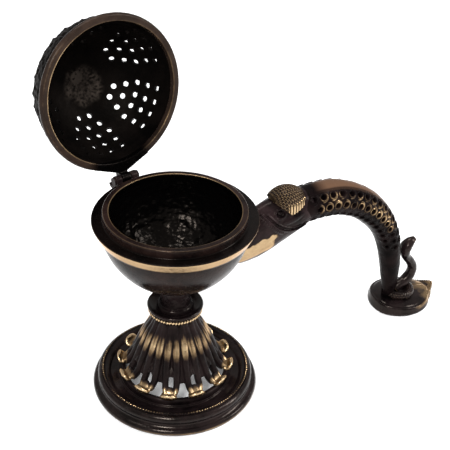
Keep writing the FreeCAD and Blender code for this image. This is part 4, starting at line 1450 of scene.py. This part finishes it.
def finial_rove():
    """Scorched disc over the finial's shank, inside the crown."""
    seat = DOME_CENTRE + DOME_RADIUS - DOME_WALL
    profile = [(0.05, 0.3), (3.9, 0.2), (4.0, -0.5), (3.3, -1.0), (0.05, -1.15)]
    profile = [(radius, seat + rise) for radius, rise in profile]
    points, faces = lathe(spline(profile, 30), 72, closed=False)
    piece = new_piece("finial_rove_disc", (opened(points), faces), 70)
    push(piece, 0.22 * rough(points, 2.0, 95) - 0.12)
    paint(piece, "wear_and_highlight", np.full(len(points), -0.4))
    return piece


# ---------------------------------------------------------------------------
# Studio
# ---------------------------------------------------------------------------

def add_camera():
    """Looks at the burner from its open side, a little above the rim."""
    azimuth = math.radians(31.0)
    elevation = math.radians(34.26)
    roll = math.radians(2.01)
    distance = 0.5845
    aim = Vector((0.02275, -0.01367, 0.11217))
    ahead = Vector((math.sin(azimuth) * math.cos(elevation), math.cos(azimuth) * math.cos(elevation),
                    -math.sin(elevation)))
    level = Vector((math.cos(azimuth), -math.sin(azimuth), 0))
    above = level.cross(ahead)
    right = math.cos(roll) * level + math.sin(roll) * above
    up = math.cos(roll) * above - math.sin(roll) * level
    data = bpy.data.cameras.new("camera")
    data.sensor_width = 36.0
    data.lens = 87.18
    data.clip_start = 0.01
    camera = bpy.data.objects.new("camera", data)
    turn = Matrix((right, up, -ahead)).transposed()
    camera.matrix_world = Matrix.Translation(aim - ahead * distance) @ turn.to_4x4()
    bpy.context.scene.collection.objects.link(camera)
    bpy.context.scene.camera = camera


def add_floor():
    size = 4.0
    mesh = bpy.data.meshes.new("floor")
    corners = [(-size, -size, 0), (size, -size, 0), (size, size, 0), (-size, size, 0)]
    mesh.from_pydata(corners, [], [(0, 1, 2, 3)])
    floor = bpy.data.objects.new("floor", mesh)
    bpy.context.scene.collection.objects.link(floor)
    nodes = Nodes(bpy.data.materials.new("floor_paper"))
    set_inputs(nodes.shader, {"Base Color": (0.92, 0.92, 0.92, 1), "Roughness": 0.9,
                              "Specular IOR Level": 0.1, "Emission Color": (1, 1, 1, 1),
                              "Emission Strength": 0.16})
    mesh.materials.append(nodes.material)


def add_softbox(name, place, aim, width, height, watts):
    data = bpy.data.lights.new(name, "AREA")
    data.shape = "RECTANGLE"
    data.size = width
    data.size_y = height
    data.energy = watts
    light = bpy.data.objects.new(name, data)
    light.location = place
    light.rotation_euler = (Vector(aim) - Vector(place)).to_track_quat("-Z", "Y").to_euler()
    bpy.context.scene.collection.objects.link(light)


def add_lights():
    world = bpy.data.worlds.new("studio")
    world.use_nodes = True
    set_inputs(world.node_tree.nodes["Background"], {"Color": (1, 1, 1, 1), "Strength": 0.56})
    bpy.context.scene.world = world
    bpy.context.scene.view_settings.view_transform = "Standard"
    aim = (0.05, 0.0, 0.08)
    add_softbox("key", (-0.75, -0.75, 1.15), aim, 0.28, 0.5, 20.0)
    add_softbox("fill", (0.95, -0.55, 0.75), aim, 0.25, 0.8, 12.0)
    add_softbox("top", (0.1, 0.35, 1.3), aim, 0.7, 0.20, 8.0)


# ---------------------------------------------------------------------------
# Assembly
# ---------------------------------------------------------------------------

def build_burner():
    """The pieces that stand still."""
    dark = patinated("dark_patina")
    glossy = patinated("glossy_patina", gloss=0.17, shine=0.17)
    beads = patinated("bead_patina", bias=0.12, mottling=0.7)
    lotus = patinated("lotus_patina", gloss=0.33, mottling=0.5)
    bowl_patina = patinated("bowl_patina", light=(0.0150, 0.0082, 0.0068), mottling=0.30)
    bowl_patina = tinted(bowl_patina, "soot_and_shade", SOOT_AND_SHADE)
    head = patinated("head_patina", light=(0.022, 0.013, 0.014), mottling=0.4)
    crest = patinated("crest_patina", light=(0.020, 0.013, 0.009), grain=0.1, mottling=0.25)
    handle = patinated("handle_patina", light=(0.0080, 0.0048, 0.0048), shine=0.025)
    handle = tinted(handle, "red", RED_BROWN)
    pieces = (
        (base_plate, "base_brass", glossy, "base_plate"),
        (base_beads, "bead_brass", beads, "base_bead_ring"),
        (lotus_pedestal, "pedestal_brass", lotus, "lotus_pedestal"),
        (knop_collar, "neck_brass", glossy, "knop_collar"),
        (knop_rope, "bead_brass", beads, "knop_rope_ring"),
        (neck_spool, "neck_brass", dark, "neck_spool"),
        (neck_ring, "neck_brass", dark, "neck_ring"),
        (bowl, "bowl_brass", bowl_patina, "bowl"),
        (bracket, "hinge_brass", dark, "hinge_bracket"),
        (makara_head, "head_brass", head, "makara_head"),
        (head_crest, "crest_brass", crest, "head_crest"),
        (makara_eyes, "head_brass", dark, "makara_eyes"),
        (handle_body, "handle_brass", handle, "handle_body"),
        (leaf_foot, "foot_brass", glossy, "leaf_foot"),
        (snake_coil, "foot_brass", glossy, "snake_coil"),
        (cobra, "foot_brass", glossy, "cobra"),
    )
    for make, slot, material, node in pieces:
        finish_piece(make(), "burner", material, node)


def build_lid():
    """The pieces that swing with the lid."""
    rim = patinated("lid_rim_patina", dark=(0.014, 0.009, 0.007), light=(0.030, 0.019, 0.014))
    rim = tinted(rim, "soot_and_shade", SOOT_AND_SHADE)
    dome = patinated("lid_dome_patina", dark=(0.0012, 0.0010, 0.0010), light=(0.0040, 0.0030, 0.0026),
                     gloss=0.5, grain=0.5, shine=0.03)
    dome = tinted(dome, "crust", CRUST)
    crust = patinated("rove_crust", dark=CRUST, light=CRUST, gloss=0.5, grain=0.5, shine=0.03)
    pieces = (
        (lid_rim_ring, "lid_ring_brass", rim, "lid_rim_ring"),
        (lid_dome, "lid_dome_brass", dome, "lid_dome"),
        (finial_rove, "lid_dome_brass", crust, "finial_rove"),
        (lid_finial, "lid_dome_brass", patinated("finial_patina"), "lid_finial"),
    )
    for make, slot, material, node in pieces:
        finish_piece(make(), "lid", material, node)


def finish_cad_nodes():
    """Materials for the CAD nodes whose own shape is shown."""
    steel = plain_metal("plated_steel", (0.45, 0.44, 0.41), 0.42)
    brass = patinated("pin_patina", bias=-0.1)
    for name in ("tie_bolt", "tie_washer", "tie_nut", "foot_screw", "hinge_pin"):
        node = frame["nodes"][name]
        node.data.materials.clear()
        node.data.materials.append(brass if name == "hinge_pin" else steel)


add_camera()
add_floor()
add_lights()
build_burner()
build_lid()
finish_cad_nodes()
